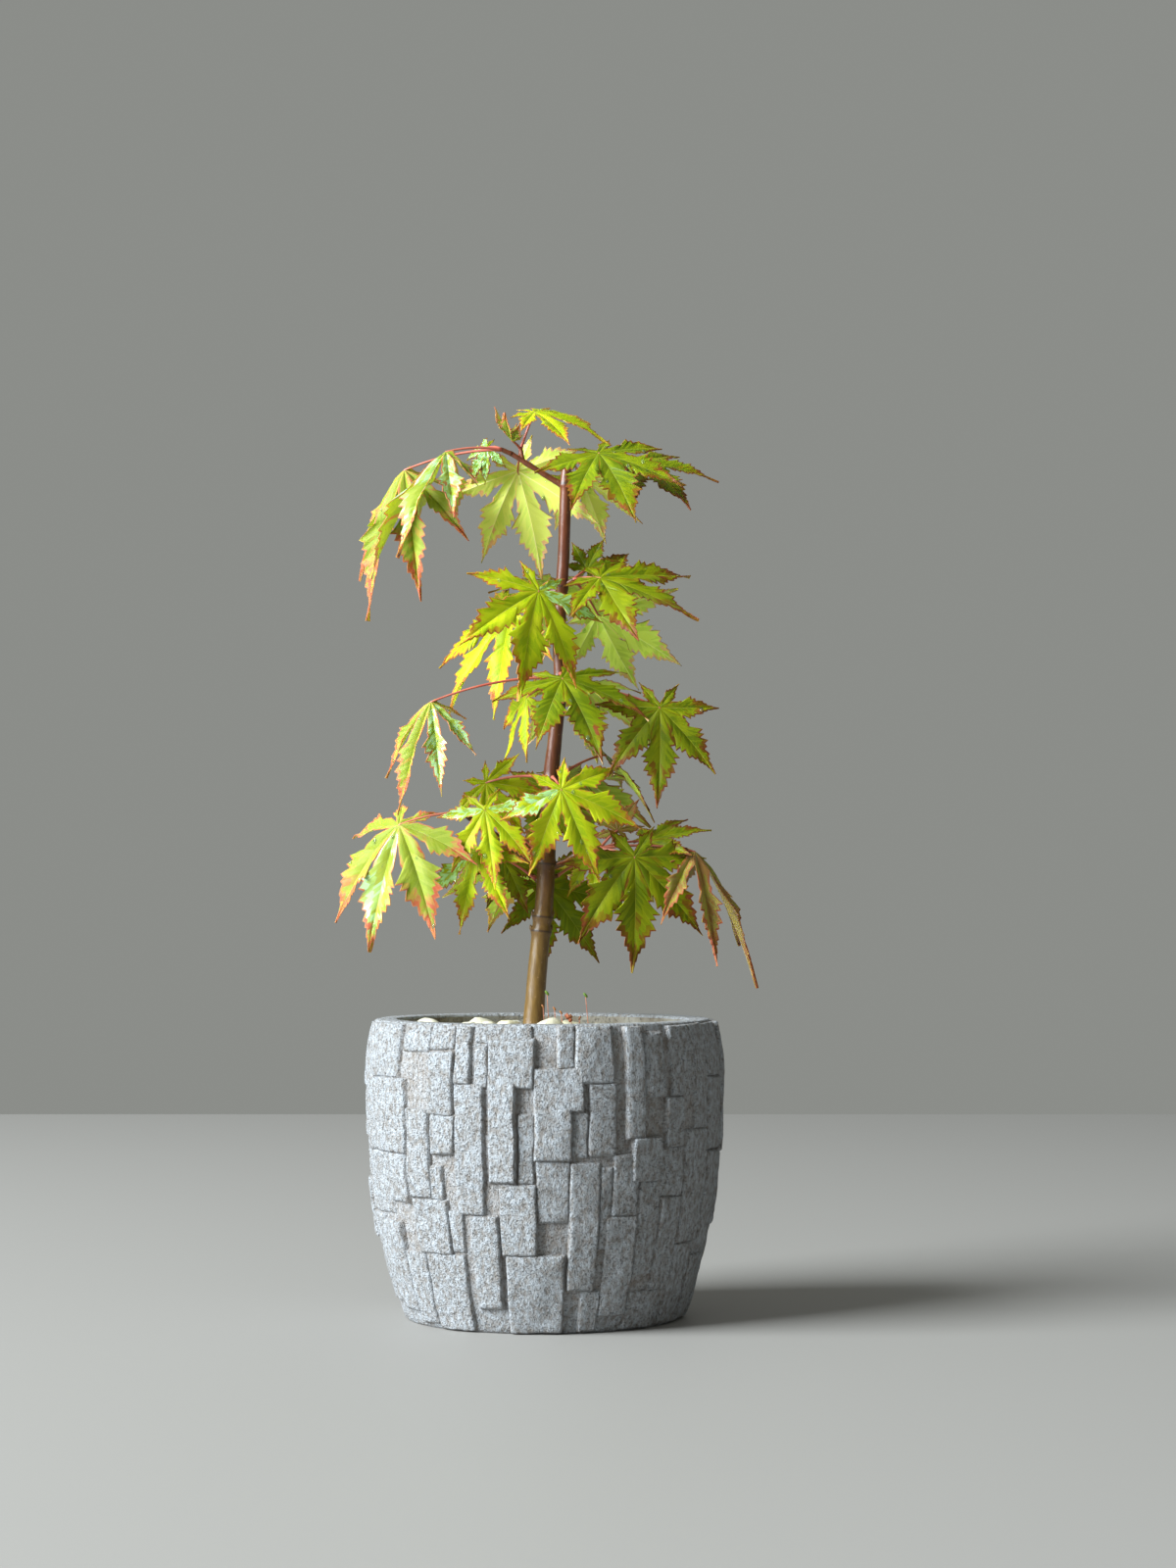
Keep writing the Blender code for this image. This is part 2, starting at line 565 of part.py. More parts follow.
def trunk_line():
    """The trunk's stations, with a low ring at each leaf scar."""
    line = limb_line(TRUNK_LINE, TRUNK_SPACING)
    for height in TRUNK_NODES:
        for offset in (-NODE_REACH, 0, NODE_REACH):
            level = height * MM + offset
            if not line[0].z + NODE_REACH < level < line[-1].z - NODE_REACH:
                continue
            above = next(n for n, station in enumerate(line) if station.z > level)
            low, high = line[above - 1], line[above]
            share = (level - low.z) / (high.z - low.z)
            line.insert(above, low.lerp(high, share))
            if offset == 0:
                line[above].w *= 1 + NODE_SWELL
    return line


def tube(name, stations, sides, extra=0.0):
    """A closed round tube through stations, its radius and ends made larger by an extra."""
    first = (stations[0] - stations[1]).to_3d().normalized() * extra
    last = (stations[-1] - stations[-2]).to_3d().normalized() * extra
    curve = bpy.data.curves.new(name, "CURVE")
    curve.dimensions = "3D"
    curve.bevel_depth = 1
    curve.bevel_resolution = (sides - 4) // 2
    curve.use_fill_caps = True
    spline = curve.splines.new("POLY")
    spline.points.add(len(stations) - 1)
    for point, station in zip(spline.points, stations):
        point.co = (station.x, station.y, station.z, 1)
        point.radius = station.w + extra
    spline.points[0].co.xyz += first
    spline.points[-1].co.xyz += last
    shape = bpy.data.objects.new(name, curve)
    bpy.context.scene.collection.objects.link(shape)
    graph = bpy.context.evaluated_depsgraph_get()
    bm = bmesh.new()
    bm.from_mesh(shape.evaluated_get(graph).to_mesh())
    bpy.data.objects.remove(shape, do_unlink=True)
    return new_object(name, bm)


def lobe_axes(leaf, angle):
    """The heading and the normal with which a lobe starts, and the blade's own face."""
    aim = Vector(leaf.aim).normalized()
    face = Vector(leaf.face)
    face = (face - face.project(aim)).normalized()
    outward = aim * math.cos(angle) + face.cross(aim) * math.sin(angle)
    cup = math.radians(leaf.cup)
    heading = outward * math.cos(cup) - face * math.sin(cup)
    return heading, face * math.cos(cup) + outward * math.sin(cup), face


def lobe_spine(leaf, angle, size):
    """The middle line of a lobe as frames of place, heading, normal and side."""
    heading, normal, face = lobe_axes(leaf, angle)
    share = HANG_LEAST + (1 - HANG_LEAST) * (1 + math.cos(angle)) / 2
    pull = (DOWN - HANG_CURL * face).normalized() * leaf.hang * share
    place = Vector(leaf.place) * MM
    step = leaf.length * MM * size / LOBE_STEPS
    frames = []
    for n in range(LOBE_STEPS + 1):
        bent = (heading + pull * (n / LOBE_STEPS) * size).normalized()
        upright = (normal - normal.project(bent)).normalized()
        frames.append((place.copy(), bent, upright, upright.cross(bent)))
        place += bent * step
    return frames


def on_lobe(frames, along, out, length, fold):
    """A point of a lobe's blade, where out is positive towards the next lobe."""
    reach = min(along, 1) * LOBE_STEPS
    index = min(int(reach), LOBE_STEPS - 1)
    share = reach - index
    place = frames[index][0].lerp(frames[index + 1][0], share)
    normal = frames[index][2].lerp(frames[index + 1][2], share)
    side = frames[index][3].lerp(frames[index + 1][3], share)
    return place + (side * out * math.cos(fold) + normal * abs(out) * math.sin(fold)) * length


def zip_rows(bm, rib, margin):
    """Fills between two rows of (along, vertex) pairs that end in the same vertex."""
    i = j = 0
    while i < len(rib) - 1 or j < len(margin) - 1:
        next_rib = rib[i + 1][0] if i < len(rib) - 1 else math.inf
        next_margin = margin[j + 1][0] if j < len(margin) - 1 else math.inf
        if next_rib <= next_margin:
            corners = {rib[i][1], rib[i + 1][1], margin[j][1]}
            i += 1
        else:
            corners = {rib[i][1], margin[j][1], margin[j + 1][1]}
            j += 1
        if len(corners) == 3:
            bm.faces.new(sorted(corners, key=lambda vert: vert.index))


def lobe_rows(size):
    """The rib and margin rows for a lobe, fewer on the shorter lobes."""
    if size < 0.5:
        return SMALL_RIB, SMALL_MARGIN
    return RIB, SHORT_MARGIN if size < 0.75 else MARGIN


def leaf_solid(name, leaf, rng):
    """A leaf blade as a closed solid, thickest on its ribs and sharp at its toothed margin."""
    angles = [math.radians(a + rng.uniform(-ANGLE_PLAY, ANGLE_PLAY)) for a in LOBE_ANGLES]
    sizes = [size * rng.uniform(1 - SIZE_PLAY, 1 + SIZE_PLAY / 2) for size in LOBE_SIZES]
    spines = [lobe_spine(leaf, angle, size) for angle, size in zip(angles, sizes)]
    lengths = [leaf.length * MM * size for size in sizes]
    fold = math.radians(FOLD + CUP_FOLD * leaf.cup)
    bm = bmesh.new()
    count = len(angles)
    sinuses = []
    for n in range(count):
        other = (n + 1) % count
        half = ((angles[other] - angles[n]) % math.tau) / 2
        depth = SINUS * min(lengths[n], lengths[other])
        if other == 0:
            depth = BASE_NOTCH * leaf.length * MM
        along, out = depth * math.cos(half), depth * math.sin(half)
        if other == 0:
            spot = Vector(leaf.place) * MM - Vector(leaf.aim).normalized() * depth
        else:
            spot = Vector()
            for lobe, turn in ((n, 1), (other, -1)):
                far, wide = along / lengths[lobe], turn * out / lengths[lobe]
                spot += on_lobe(spines[lobe], far, wide, lengths[lobe], fold) / 2
        sinuses.append(bm.verts.new(spot))
    middle = spines[count // 2][0]
    hubs = [bm.verts.new(middle[0] + middle[2] * side * LEAF_THICKNESS / 2) for side in (1, -1)]
    for n, (spine, size, length) in enumerate(zip(spines, sizes, lengths)):
        ribs_at, margin_at = lobe_rows(size)
        tip = bm.verts.new(spine[-1][0])
        ribs = [[(0, hub)] for hub in hubs]
        for along in ribs_at:
            index = round(along * LOBE_STEPS)
            rise = spine[index][2] * LEAF_THICKNESS / 2 * math.sqrt(1 - along)
            spot = on_lobe(spine, along, 0, length, fold)
            for row, side in zip(ribs, (1, -1)):
                row.append((along, bm.verts.new(spot + side * rise)))
        for row in ribs:
            row.append((1, tip))
        for turn, sinus in ((1, sinuses[n]), (-1, sinuses[n - 1])):
            margin = [(0, sinus)]
            for along, out in margin_at:
                spot = on_lobe(spine, along, turn * out * leaf.broad, length, fold)
                margin.append((along, bm.verts.new(spot)))
            margin.append((1, tip))
            bm.verts.index_update()
            for row in ribs:
                zip_rows(bm, row, margin)
    return new_object(name, bm)


def stalk(name, start, leaf):
    """A leaf stalk that arches from the stem's end to the blade and runs on into it."""
    end = Vector(leaf.place) * MM
    heading = lobe_axes(leaf, 0)[0]
    middle = (start + end) / 2 - DOWN * STALK_ARCH * (end - start).length
    stations = []
    for n in range(STALK_STATIONS):
        t = n / (STALK_STATIONS - 1)
        place = start * (1 - t) ** 2 + middle * 2 * t * (1 - t) + end * t * t
        stations.append(Vector((*place, STALK_RADIUS * (1 - STALK_TAPER * t))))
    stations.append(Vector((*(end + heading * STALK_SINK), stations[-1].w * STALK_TAPER)))
    return tube(name, stations, STALK_SIDES)


def meets(one, other):
    """True if the surfaces of two objects cross."""
    trees = []
    for item in (one, other):
        bm = bmesh.new()
        bm.from_mesh(item.data)
        trees.append(BVHTree.FromBMesh(bm))
        bm.free()
    return bool(trees[0].overlap(trees[1]))


def build_mass(name, mass, cutters):
    """One mass of foliage: a stem on its limb, a stalk to each leaf, and the leaves, as one body.

    A leaf that would touch a limb is skipped.
    """
    rng = random.Random(name)
    root, end = Vector(mass.root) * MM, Vector(mass.stem) * MM
    inward = (root - end).normalized()
    outer = end - inward * STALK_RADIUS
    stem_line = [Vector((*root, STEM_RADIUS)), Vector((*outer, STEM_RADIUS * STEM_TAPER))]
    stem = tube(name, stem_line, STALK_SIDES)
    pieces = []
    for number, leaf in enumerate(mass.leaves):
        blade = leaf_solid(f"{name}_leaf_{number}", leaf, rng)
        if any(meets(blade, cutter) for cutter in cutters.values()):
            print(f"{blade.name} touches a limb and is left out")
            bpy.data.objects.remove(blade, do_unlink=True)
            continue
        pieces += [blade, stalk(f"{name}_stalk_{number}", end, leaf)]
    joined = union(stem, pieces)
    cut(joined, cutters[mass.limb])
    return finish(joined, LEAF_GREEN)


def main():
    """Builds every piece of the plant and its pot."""
    clear_scene()
    build_pot()
    build_soil()
    build_pebbles()
    lines = {"trunk": trunk_line()}
    for name, rows in BOUGH_LINES.items():
        lines[name] = limb_line(rows, BOUGH_SPACING)
    cutters = {}
    for name, line in lines.items():
        sides = TRUNK_SIDES if name == "trunk" else BOUGH_SIDES
        limb = tube(name, line, sides)
        cutters[name] = tube(f"{name}_cutter", line, sides, CLEAR)
        if name != "trunk":
            cut(limb, cutters["trunk"])
        finish(limb, BARK, SMOOTH_ANGLE)
    for name, mass in MASSES.items():
        build_mass(name, mass, cutters)
    for cutter in cutters.values():
        bpy.data.objects.remove(cutter, do_unlink=True)


main()
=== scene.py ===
"""Young Japanese maple in a cast concrete pot: its fine shapes, finishes, light and camera.

Sizes and places are in millimetres where they are multiplied by MM. The front faces -Y.
"""

import math
import random
from collections import namedtuple

import bmesh
import bpy
from mathutils import Matrix, Vector, noise


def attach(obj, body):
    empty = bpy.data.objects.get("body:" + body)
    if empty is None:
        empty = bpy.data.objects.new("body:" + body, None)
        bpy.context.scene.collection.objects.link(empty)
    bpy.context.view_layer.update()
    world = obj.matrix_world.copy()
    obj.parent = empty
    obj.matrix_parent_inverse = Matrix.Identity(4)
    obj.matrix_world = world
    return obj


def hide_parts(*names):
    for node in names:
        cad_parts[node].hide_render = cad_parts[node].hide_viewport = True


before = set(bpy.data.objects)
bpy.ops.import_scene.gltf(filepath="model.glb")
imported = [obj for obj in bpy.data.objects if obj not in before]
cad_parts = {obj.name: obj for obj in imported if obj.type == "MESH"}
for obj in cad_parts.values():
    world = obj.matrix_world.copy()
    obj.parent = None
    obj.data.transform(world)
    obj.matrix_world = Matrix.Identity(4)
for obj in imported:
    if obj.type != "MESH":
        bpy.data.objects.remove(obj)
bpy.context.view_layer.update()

# Pot
# A patio planter cast in grey cement, faced all round with uneven flat slabs like split stone.
# It is cast in one piece, so the slabs have soft edges, fine pits, and grime with painted shade in their
# grooves.

MM = 0.001
MERGE = 0.002 * MM
POT_HEIGHT = 107 * MM
BELLY_HEIGHT = 82 * MM
BELLY_RADIUS = 63.2 * MM
FOOT_RADIUS = 49.3 * MM
RIM_RADIUS = 60.6 * MM
RIM_ROUNDING = 1.1 * MM
RIM_STEPS = 4  # facets over each rounding of the rim
FOOT_CHAMFER = 0.7 * MM
FOOT_POWER = 2.2
RIM_POWER = 2.4
INNER_RADIUS = 52.4 * MM
WALL_THICKNESS = 8.2 * MM
INSIDE_FLOOR = 11 * MM
INSIDE_ROWS = (98 * MM, 90 * MM, 45 * MM, 27 * MM, INSIDE_FLOOR)
OUTSIDE_FROM = INNER_RADIUS + 0.5 * MM
STAIN_TOP = POT_HEIGHT - 2.5 * MM
# How much the bare outer wall is browned and darkened: partly grime, partly painted shade between the slabs
WALL_GRIME_AND_SHADE = 0.38
POT_STEPS = 200  # facets round the pot
WALL_ROW = 3 * MM
SLAB_ROOT = 1.5 * MM
SLAB_EDGE = 0.42 * MM  # rounding of the slabs' edges
SLAB_FACET = 1.4  # degrees
SLAB_ROW = 1.6 * MM
SLAB_WAVES = ((0.55 * MM, 9 * MM), (0.3 * MM, 2.8 * MM))  # depth and size of its unevenness
SLAB_TILT = 0.32  # how much one side of a slab stands out more than the other
TILT_NOISE = 700  # steps of the noise from slab to slab, for each metre
LEAN_NOISE = 900
SLAB_DRAFT = 1.5 * MM  # how much its sides slope outward down to its root
DRAFT_TOP = 105 * MM  # height above which the slope goes no further up
FLOOR_GAP = 0.2 * MM

# Left and right side in degrees round from the front, lower and upper end and height in mm
FRONT_SLABS = (
    (-78, -71, 66, 106, 1.1),
    (-70, -51.5, 88, 106.4, 1.4),
    (-49.5, -38, 97.5, 106.5, 0.9),
    (-37, -28.5, 76, 97, 2.1),
    (-37.2, -28.8, 98.5, 106.2, 1.0),
    (-27.5, -22.6, 87, 106.4, 1.6),
    (-20.4, -3, 101, 106.3, 1.0),
    (-20.6, -17, 86, 100.2, 1.0),
    (-16, -2.2, 85.6, 101.5, 1.9),
    (5.8, 10.6, 92.2, 106.6, 1.3),
    (11.4, 23.2, 87.2, 106.5, 1.6),
    (28, 33.8, 68, 106.3, 1.9),
    (34.4, 42, 82, 103.5, 1.4),
    (45.5, 56.8, 82, 106.2, 1.2),
    (57.6, 66, 70, 106.4, 0.9),
    (66.8, 79, 88, 106.2, 1.2),
    (-72, -48.2, 62, 87, 1.9),
    (-46.6, -37.6, 47, 77, 2.0),
    (-36, -27.8, 62.6, 75.4, 2.3),
    (-27.2, -18.2, 42.2, 86, 1.7),
    (-15.8, -8, 53.2, 86.4, 2.4),
    (-6.6, -2.2, 53, 76.2, 1.1),
    (-1.6, 13, 77.8, 91.7, 1.8),
    (-1.4, 9.4, 61, 78.2, 2.4),
    (10, 14.6, 62, 77.2, 1.0),
    (15.6, 23.8, 62.6, 86.4, 1.5),
    (23.9, 32.4, 41.4, 62, 1.2),
    (30.4, 40.6, 53.2, 67.4, 2.2),
    (43, 50.6, 64.6, 81, 1.9),
    (41.2, 51.4, 47.2, 63.8, 1.1),
    (67.2, 79, 62, 86.8, 1.6),
    (-76, -58, 40.2, 61.4, 1.2),
    (-57.2, -48.4, 44.8, 61, 1.7),
    (-39, -33, 46.6, 57.8, 1.3),
    (-45, -31.8, 27.8, 45.8, 1.9),
    (-31, -26.4, 28.6, 42.4, 1.1),
    (-12.6, -1.6, 28.2, 52, 2.0),
    (-0.8, 9.2, 39.6, 60.2, 1.2),
    (9.8, 18.8, 15.8, 59.4, 1.8),
    (19.6, 23, 30, 58, 1.0),
    (-23, -14, 9.2, 41, 1.8),
    (-11.2, 8, 0.8, 27.4, 2.1),
    (-42.6, -26.8, 0.9, 27.2, 1.5),
    (22, 32.8, 6.4, 40.4, 1.5),
    (33.6, 42, 20.4, 52.4, 1.0),
    (14.8, 21.4, 1, 15, 1.3),
    (-79, -66, 8.4, 38.8, 1.3),
    (-65, -54.2, 6, 37.2, 1.7),
    (-53.4, -44, 2.2, 27, 1.3),
    (42.8, 52, 14.4, 46.2, 1.5),
    (53, 66, 30.2, 69, 1.3),
    (67, 79, 25.2, 60.6, 1.7),
    (34, 48, 0.9, 13.6, 1.2),
    (53, 65, 1.1, 29, 0.9),
    (66.4, 79, 1.2, 24, 1.3),
)
BACK_FROM = 80.2
BACK_TO = 280.6
BACK_WIDTHS = (10, 18)
BACK_HEIGHTS = (20, 48)
BACK_STEPS = (0.9, 1.2, 1.5, 1.8, 2.2, 0, 0)
BACK_TOPS = (105.8, 106.6)
BACK_FEET = (0.8, 1.4)
GROOVES = (0.2, 1.4)
COLUMN_GAPS = (0.3, 1.6)
SLAB_SEED = 11
POT_SHARP = 42  # degrees from which an edge stays sharp


def new_piece(name, bm, materials=(), replaced=()):
    """Makes a smooth object of a bmesh, with its materials and its place in the model."""
    mesh = bpy.data.meshes.new(name)
    bm.to_mesh(mesh)
    bm.free()
    mesh.shade_smooth()
    made = bpy.data.objects.new(name, mesh)
    bpy.context.scene.collection.objects.link(made)
    for finish in materials:
        mesh.materials.append(finish)
    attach(made, "root")
    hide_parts(*replaced)
    return made


def add_part(whole, part):
    """Adds one bmesh to another and frees it."""
    mesh = bpy.data.meshes.new("part")
    part.to_mesh(mesh)
    part.free()
    whole.from_mesh(mesh)
    bpy.data.meshes.remove(mesh)


def wall_radius(height):
    """Outer radius of the pot's bare wall at a height."""
    if height < BELLY_HEIGHT:
        fall = ((BELLY_HEIGHT - height) / BELLY_HEIGHT) ** FOOT_POWER
        return BELLY_RADIUS - (BELLY_RADIUS - FOOT_RADIUS) * fall
    fall = ((height - BELLY_HEIGHT) / (POT_HEIGHT - BELLY_HEIGHT)) ** RIM_POWER
    return BELLY_RADIUS - (BELLY_RADIUS - RIM_RADIUS) * fall


def back_slabs():
    """Slabs for the sides and back: uneven columns, each cut into uneven blocks."""
    rng = random.Random(SLAB_SEED)
    blocks = []
    left = BACK_FROM
    while left < BACK_TO - BACK_WIDTHS[0]:
        right = min(left + rng.uniform(*BACK_WIDTHS), BACK_TO)
        top = rng.uniform(*BACK_TOPS)
        while top > BACK_HEIGHTS[0]:
            bottom = max(top - rng.uniform(*BACK_HEIGHTS), rng.uniform(*BACK_FEET))
            proud = rng.choice(BACK_STEPS)
            if proud:
                blocks.append((left, right, bottom, top, proud))
            top = bottom - rng.uniform(*GROOVES)
        left = right + rng.uniform(*COLUMN_GAPS)
    return blocks


def pot_body():
    """The pot's wall, rim and hollow, turned from one profile."""
    bm = bmesh.new()
    heights = [FOOT_CHAMFER] + [n * WALL_ROW for n in range(1, int(POT_HEIGHT / WALL_ROW))]
    profile = [(0, 0), (FOOT_RADIUS - FOOT_CHAMFER, 0)]
    profile += [(wall_radius(height), height) for height in heights]
    for centre, start in ((RIM_RADIUS - RIM_ROUNDING, 0), (INNER_RADIUS + RIM_ROUNDING, 90)):
        for step in range(RIM_STEPS + 1):
            turn = math.radians(start + 90 / RIM_STEPS * step)
            height = POT_HEIGHT - RIM_ROUNDING + RIM_ROUNDING * math.sin(turn)
            profile.append((centre + RIM_ROUNDING * math.cos(turn), height))
    for height in INSIDE_ROWS:
        profile.append((min(INNER_RADIUS, wall_radius(height) - WALL_THICKNESS), height))
    profile.append((0, INSIDE_FLOOR))
    points = [bm.verts.new((radius, 0, height)) for radius, height in profile]
    edges = [bm.edges.new(pair) for pair in zip(points, points[1:])]
    bmesh.ops.spin(
        bm,
        geom=points + edges,
        cent=(0, 0, 0),
        axis=(0, 0, 1),
        angle=math.tau,
        steps=POT_STEPS,
        use_merge=True,
        use_duplicate=False,
    )
    bmesh.ops.remove_doubles(bm, verts=bm.verts, dist=MERGE)
    bmesh.ops.recalc_face_normals(bm, faces=bm.faces)
    return bm


def slab_block(left, right, bottom, top, proud):
    """One slab: a rounded block, cut across, waved a little and bent round the wall."""
    bm = bmesh.new()
    bmesh.ops.create_cube(bm, size=1)
    size = (math.radians(right - left) * BELLY_RADIUS, proud + SLAB_ROOT, top - bottom)
    round_to = math.radians(left + right) / 2 * BELLY_RADIUS
    middle = (round_to, (proud - SLAB_ROOT) / 2, (bottom + top) / 2)
    bmesh.ops.scale(bm, vec=size, verts=bm.verts)
    bmesh.ops.translate(bm, vec=middle, verts=bm.verts)
    bmesh.ops.bevel(
        bm,
        geom=bm.edges[:],
        offset=SLAB_EDGE,
        affect="EDGES",
        segments=2,
        profile=0.5,
        material=-1,
    )
    step = math.radians(SLAB_FACET) * BELLY_RADIUS
    first, last = math.floor(left / SLAB_FACET), math.ceil(right / SLAB_FACET)
    cuts = [((n * step, 0, 0), (1, 0, 0)) for n in range(first + 1, last)]
    cuts += [((0, 0, n * SLAB_ROW), (0, 0, 1)) for n in range(1, int(POT_HEIGHT / SLAB_ROW))]
    for place, across in cuts:
        if across[0] or bottom < place[2] < top:
            everything = bm.verts[:] + bm.edges[:] + bm.faces[:]
            bmesh.ops.bisect_plane(bm, geom=everything, plane_co=place, plane_no=across, dist=MERGE)
    # The value grows towards a slab's root: grime and painted shade at its foot. It also sets the outward
    # slope of the slab's sides
    grime_and_shade = bm.verts.layers.float.new("grime_and_shade")
    tilt = SLAB_TILT * noise.noise(Vector(middle) * TILT_NOISE)
    lean = SLAB_TILT * noise.noise(Vector(middle) * LEAN_NOISE)
    for vert in bm.verts:
        height = (vert.co.y + SLAB_ROOT) / (proud + SLAB_ROOT)
        vert[grime_and_shade] = 1 - min(max(height, 0), 1)
        spot = vert.co.copy()
        share = (spot.x - middle[0]) / size[0]
        rise = (spot.z - middle[2]) / size[2]
        spot.y += proud * height * (tilt * share + lean * rise) * 2
        slope = 2 * SLAB_DRAFT * vert[grime_and_shade]
        spot.x += slope * share
        spot.z += min(slope * rise, max(DRAFT_TOP - spot.z, 0))
        for depth, width in SLAB_WAVES:
            spot += noise.noise_vector(vert.co / width) * depth * height
        angle = spot.x / BELLY_RADIUS
        radius = wall_radius(min(max(spot.z, 0), POT_HEIGHT)) + spot.y
        vert.co = (radius * math.sin(angle), -radius * math.cos(angle), max(spot.z, FLOOR_GAP))
    bmesh.ops.recalc_face_normals(bm, faces=bm.faces)
    return bm


def node(tree, kind, feeds=None, **settings):
    """Adds a shader node with its settings, and links or sets the inputs that it is fed."""
    made = tree.nodes.new(kind)
    made.location = (200 * (len(tree.nodes) % 8) - 1700, 300 * (len(tree.nodes) // 8) - 300)
    for key, value in settings.items():
        setattr(made, key, value)
    for key, value in (feeds or {}).items():
        if isinstance(value, bpy.types.NodeSocket):
            tree.links.new(value, made.inputs[key])
        else:
            made.inputs[key].default_value = value
    return made


def mixed(tree, factor, one, other, mode="MIX"):
    """Mixes two colours and gives the socket of the result."""
    feeds = {0: factor, 6: one, 7: other}
    return node(tree, "ShaderNodeMix", feeds, data_type="RGBA", blend_type=mode).outputs[2]


def spread(tree, value, low, high, to_low=0.0, to_high=1.0):
    """Spreads a range of values over another and gives the socket of the result."""
    feeds = {"Value": value, "From Min": low, "From Max": high, "To Min": to_low, "To Max": to_high}
    return node(tree, "ShaderNodeMapRange", feeds).outputs["Result"]


def ramped(tree, value, *stops):
    """Turns a value into a colour by stops of place and colour."""
    made = node(tree, "ShaderNodeValToRGB", {"Fac": value})
    elements = made.color_ramp.elements
    for element, (place, colour) in zip(elements, (stops[0], stops[-1])):
        element.position = place
        element.color = (*colour, 1)
    for place, colour in stops[1:-1]:
        elements.new(place).color = (*colour, 1)
    return made.outputs["Color"]


def new_material(name, values):
    """A Principled material with the values on its own sockets, its tree and its shader."""
    made = bpy.data.materials.new(name)
    made.use_nodes = True
    shader = made.node_tree.nodes["Principled BSDF"]
    for key, value in values.items():
        shader.inputs[key].default_value = value
    return made, made.node_tree, shader


def bumped(tree, shader, height, strength, distance):
    """Lets a height raise the surface of a material."""
    feeds = {"Strength": strength, "Distance": distance, "Height": height}
    bump = node(tree, "ShaderNodeBump", feeds)
    tree.links.new(bump.outputs["Normal"], shader.inputs["Normal"])


def grain_group():
    """Cast or worn grain: coarse lumps, fine grit and dark pits, by place on the piece."""
    group = bpy.data.node_groups.new("grain", "ShaderNodeTree")
    for name in ("Lump Scale", "Grit Scale", "Streak"):
        group.interface.new_socket(name=name, in_out="INPUT", socket_type="NodeSocketFloat")
    for name in ("Height", "Mottle", "Pits"):
        group.interface.new_socket(name=name, in_out="OUTPUT", socket_type="NodeSocketFloat")
    ins = group.nodes.new("NodeGroupInput").outputs
    outs = group.nodes.new("NodeGroupOutput").inputs
    where = node(group, "ShaderNodeTexCoord").outputs["Object"]
    squeeze = node(group, "ShaderNodeCombineXYZ", {"X": 1.0, "Y": 1.0, "Z": ins["Streak"]})
    spot = node(group, "ShaderNodeVectorMath", {0: where, 1: squeeze.outputs[0]}, operation="MULTIPLY")
    feeds = {"Vector": spot.outputs[0], "Scale": ins["Lump Scale"], "Detail": 4.0, "Roughness": 0.6}
    lumps = node(group, "ShaderNodeTexNoise", feeds).outputs["Fac"]
    feeds = {"Vector": where, "Scale": ins["Grit Scale"], "Detail": 3.0, "Roughness": 0.7}
    grit = node(group, "ShaderNodeTexNoise", feeds).outputs["Fac"]
    shifted = node(group, "ShaderNodeVectorMath", {0: where, 1: (0.3, 0.7, 0.2)}, operation="ADD")
    feeds = {"Vector": shifted.outputs[0], "Scale": ins["Grit Scale"], "Detail": 1.0, "Distortion": 0.6}
    hollows = node(group, "ShaderNodeTexNoise", feeds).outputs["Fac"]
    pits = spread(group, hollows, 0.58, 0.68)
    gritty = node(group, "ShaderNodeMath", {0: grit, 1: 0.9, 2: lumps}, operation="MULTIPLY_ADD")
    feeds = {0: pits, 1: -0.45, 2: gritty.outputs[0]}
    pitted = node(group, "ShaderNodeMath", feeds, operation="MULTIPLY_ADD")
    group.links.new(pitted.outputs[0], outs["Height"])
    group.links.new(lumps, outs["Mottle"])
    group.links.new(pits, outs["Pits"])
    return group


grain = grain_group()


def grainy_material(name, values, pale, dark, scales, relief, pit_shade):
    """A material mottled from dark to pale, with pits and relief; gives it and its colour socket."""
    made, tree, shader = new_material(name, values)
    grains = tree.nodes.new("ShaderNodeGroup")
    grains.node_tree = grain
    for key, value in zip(("Lump Scale", "Grit Scale", "Streak"), scales):
        grains.inputs[key].default_value = value
    colours = ramped(tree, grains.outputs["Mottle"], (0.36, dark), (0.62, pale))
    shades = (pit_shade, pit_shade, pit_shade, 1)
    colours = mixed(tree, grains.outputs["Pits"], colours, shades, "MULTIPLY")
    bumped(tree, shader, grains.outputs["Height"], 1.0, relief)
    tree.links.new(colours, shader.inputs["Base Color"])
    return made, tree, shader, colours


cement, tree, shader, colours = grainy_material(
    "cast_cement",
    {"Roughness": 0.95, "Specular IOR Level": 0.25},
    pale=(0.48, 0.515, 0.553),
    dark=(0.29, 0.272, 0.255),
    scales=(620, 1500, 0.62),
    relief=1.5 * MM,
    pit_shade=0.6,
)
# Browner and darker down the slabs' sides and on the bare wall: partly grime, partly painted shade in the
# grooves
depth = node(tree, "ShaderNodeAttribute", attribute_name="grime_and_shade").outputs["Fac"]
grimy_and_shaded = mixed(tree, spread(tree, depth, 0.1, 0.8, 0.0, 0.6), colours, (0.37, 0.3, 0.245, 1))
tree.links.new(grimy_and_shaded, shader.inputs["Base Color"])
stained = grainy_material(
    "stained_cement",
    {"Roughness": 0.9},
    pale=(0.3, 0.29, 0.25),
    dark=(0.17, 0.145, 0.105),
    scales=(120, 900, 0.6),
    relief=0.4 * MM,
    pit_shade=0.6,
)[0]

pot_mesh = pot_body()
# The bare outer wall below the rim takes part of the same grime and painted shade
grime_and_shade = pot_mesh.verts.layers.float.new("grime_and_shade")
for vert in pot_mesh.verts:
    low = vert.co.z < POT_HEIGHT - 2 * RIM_ROUNDING
    vert[grime_and_shade] = WALL_GRIME_AND_SHADE if low and vert.co.xy.length > OUTSIDE_FROM else 0.0
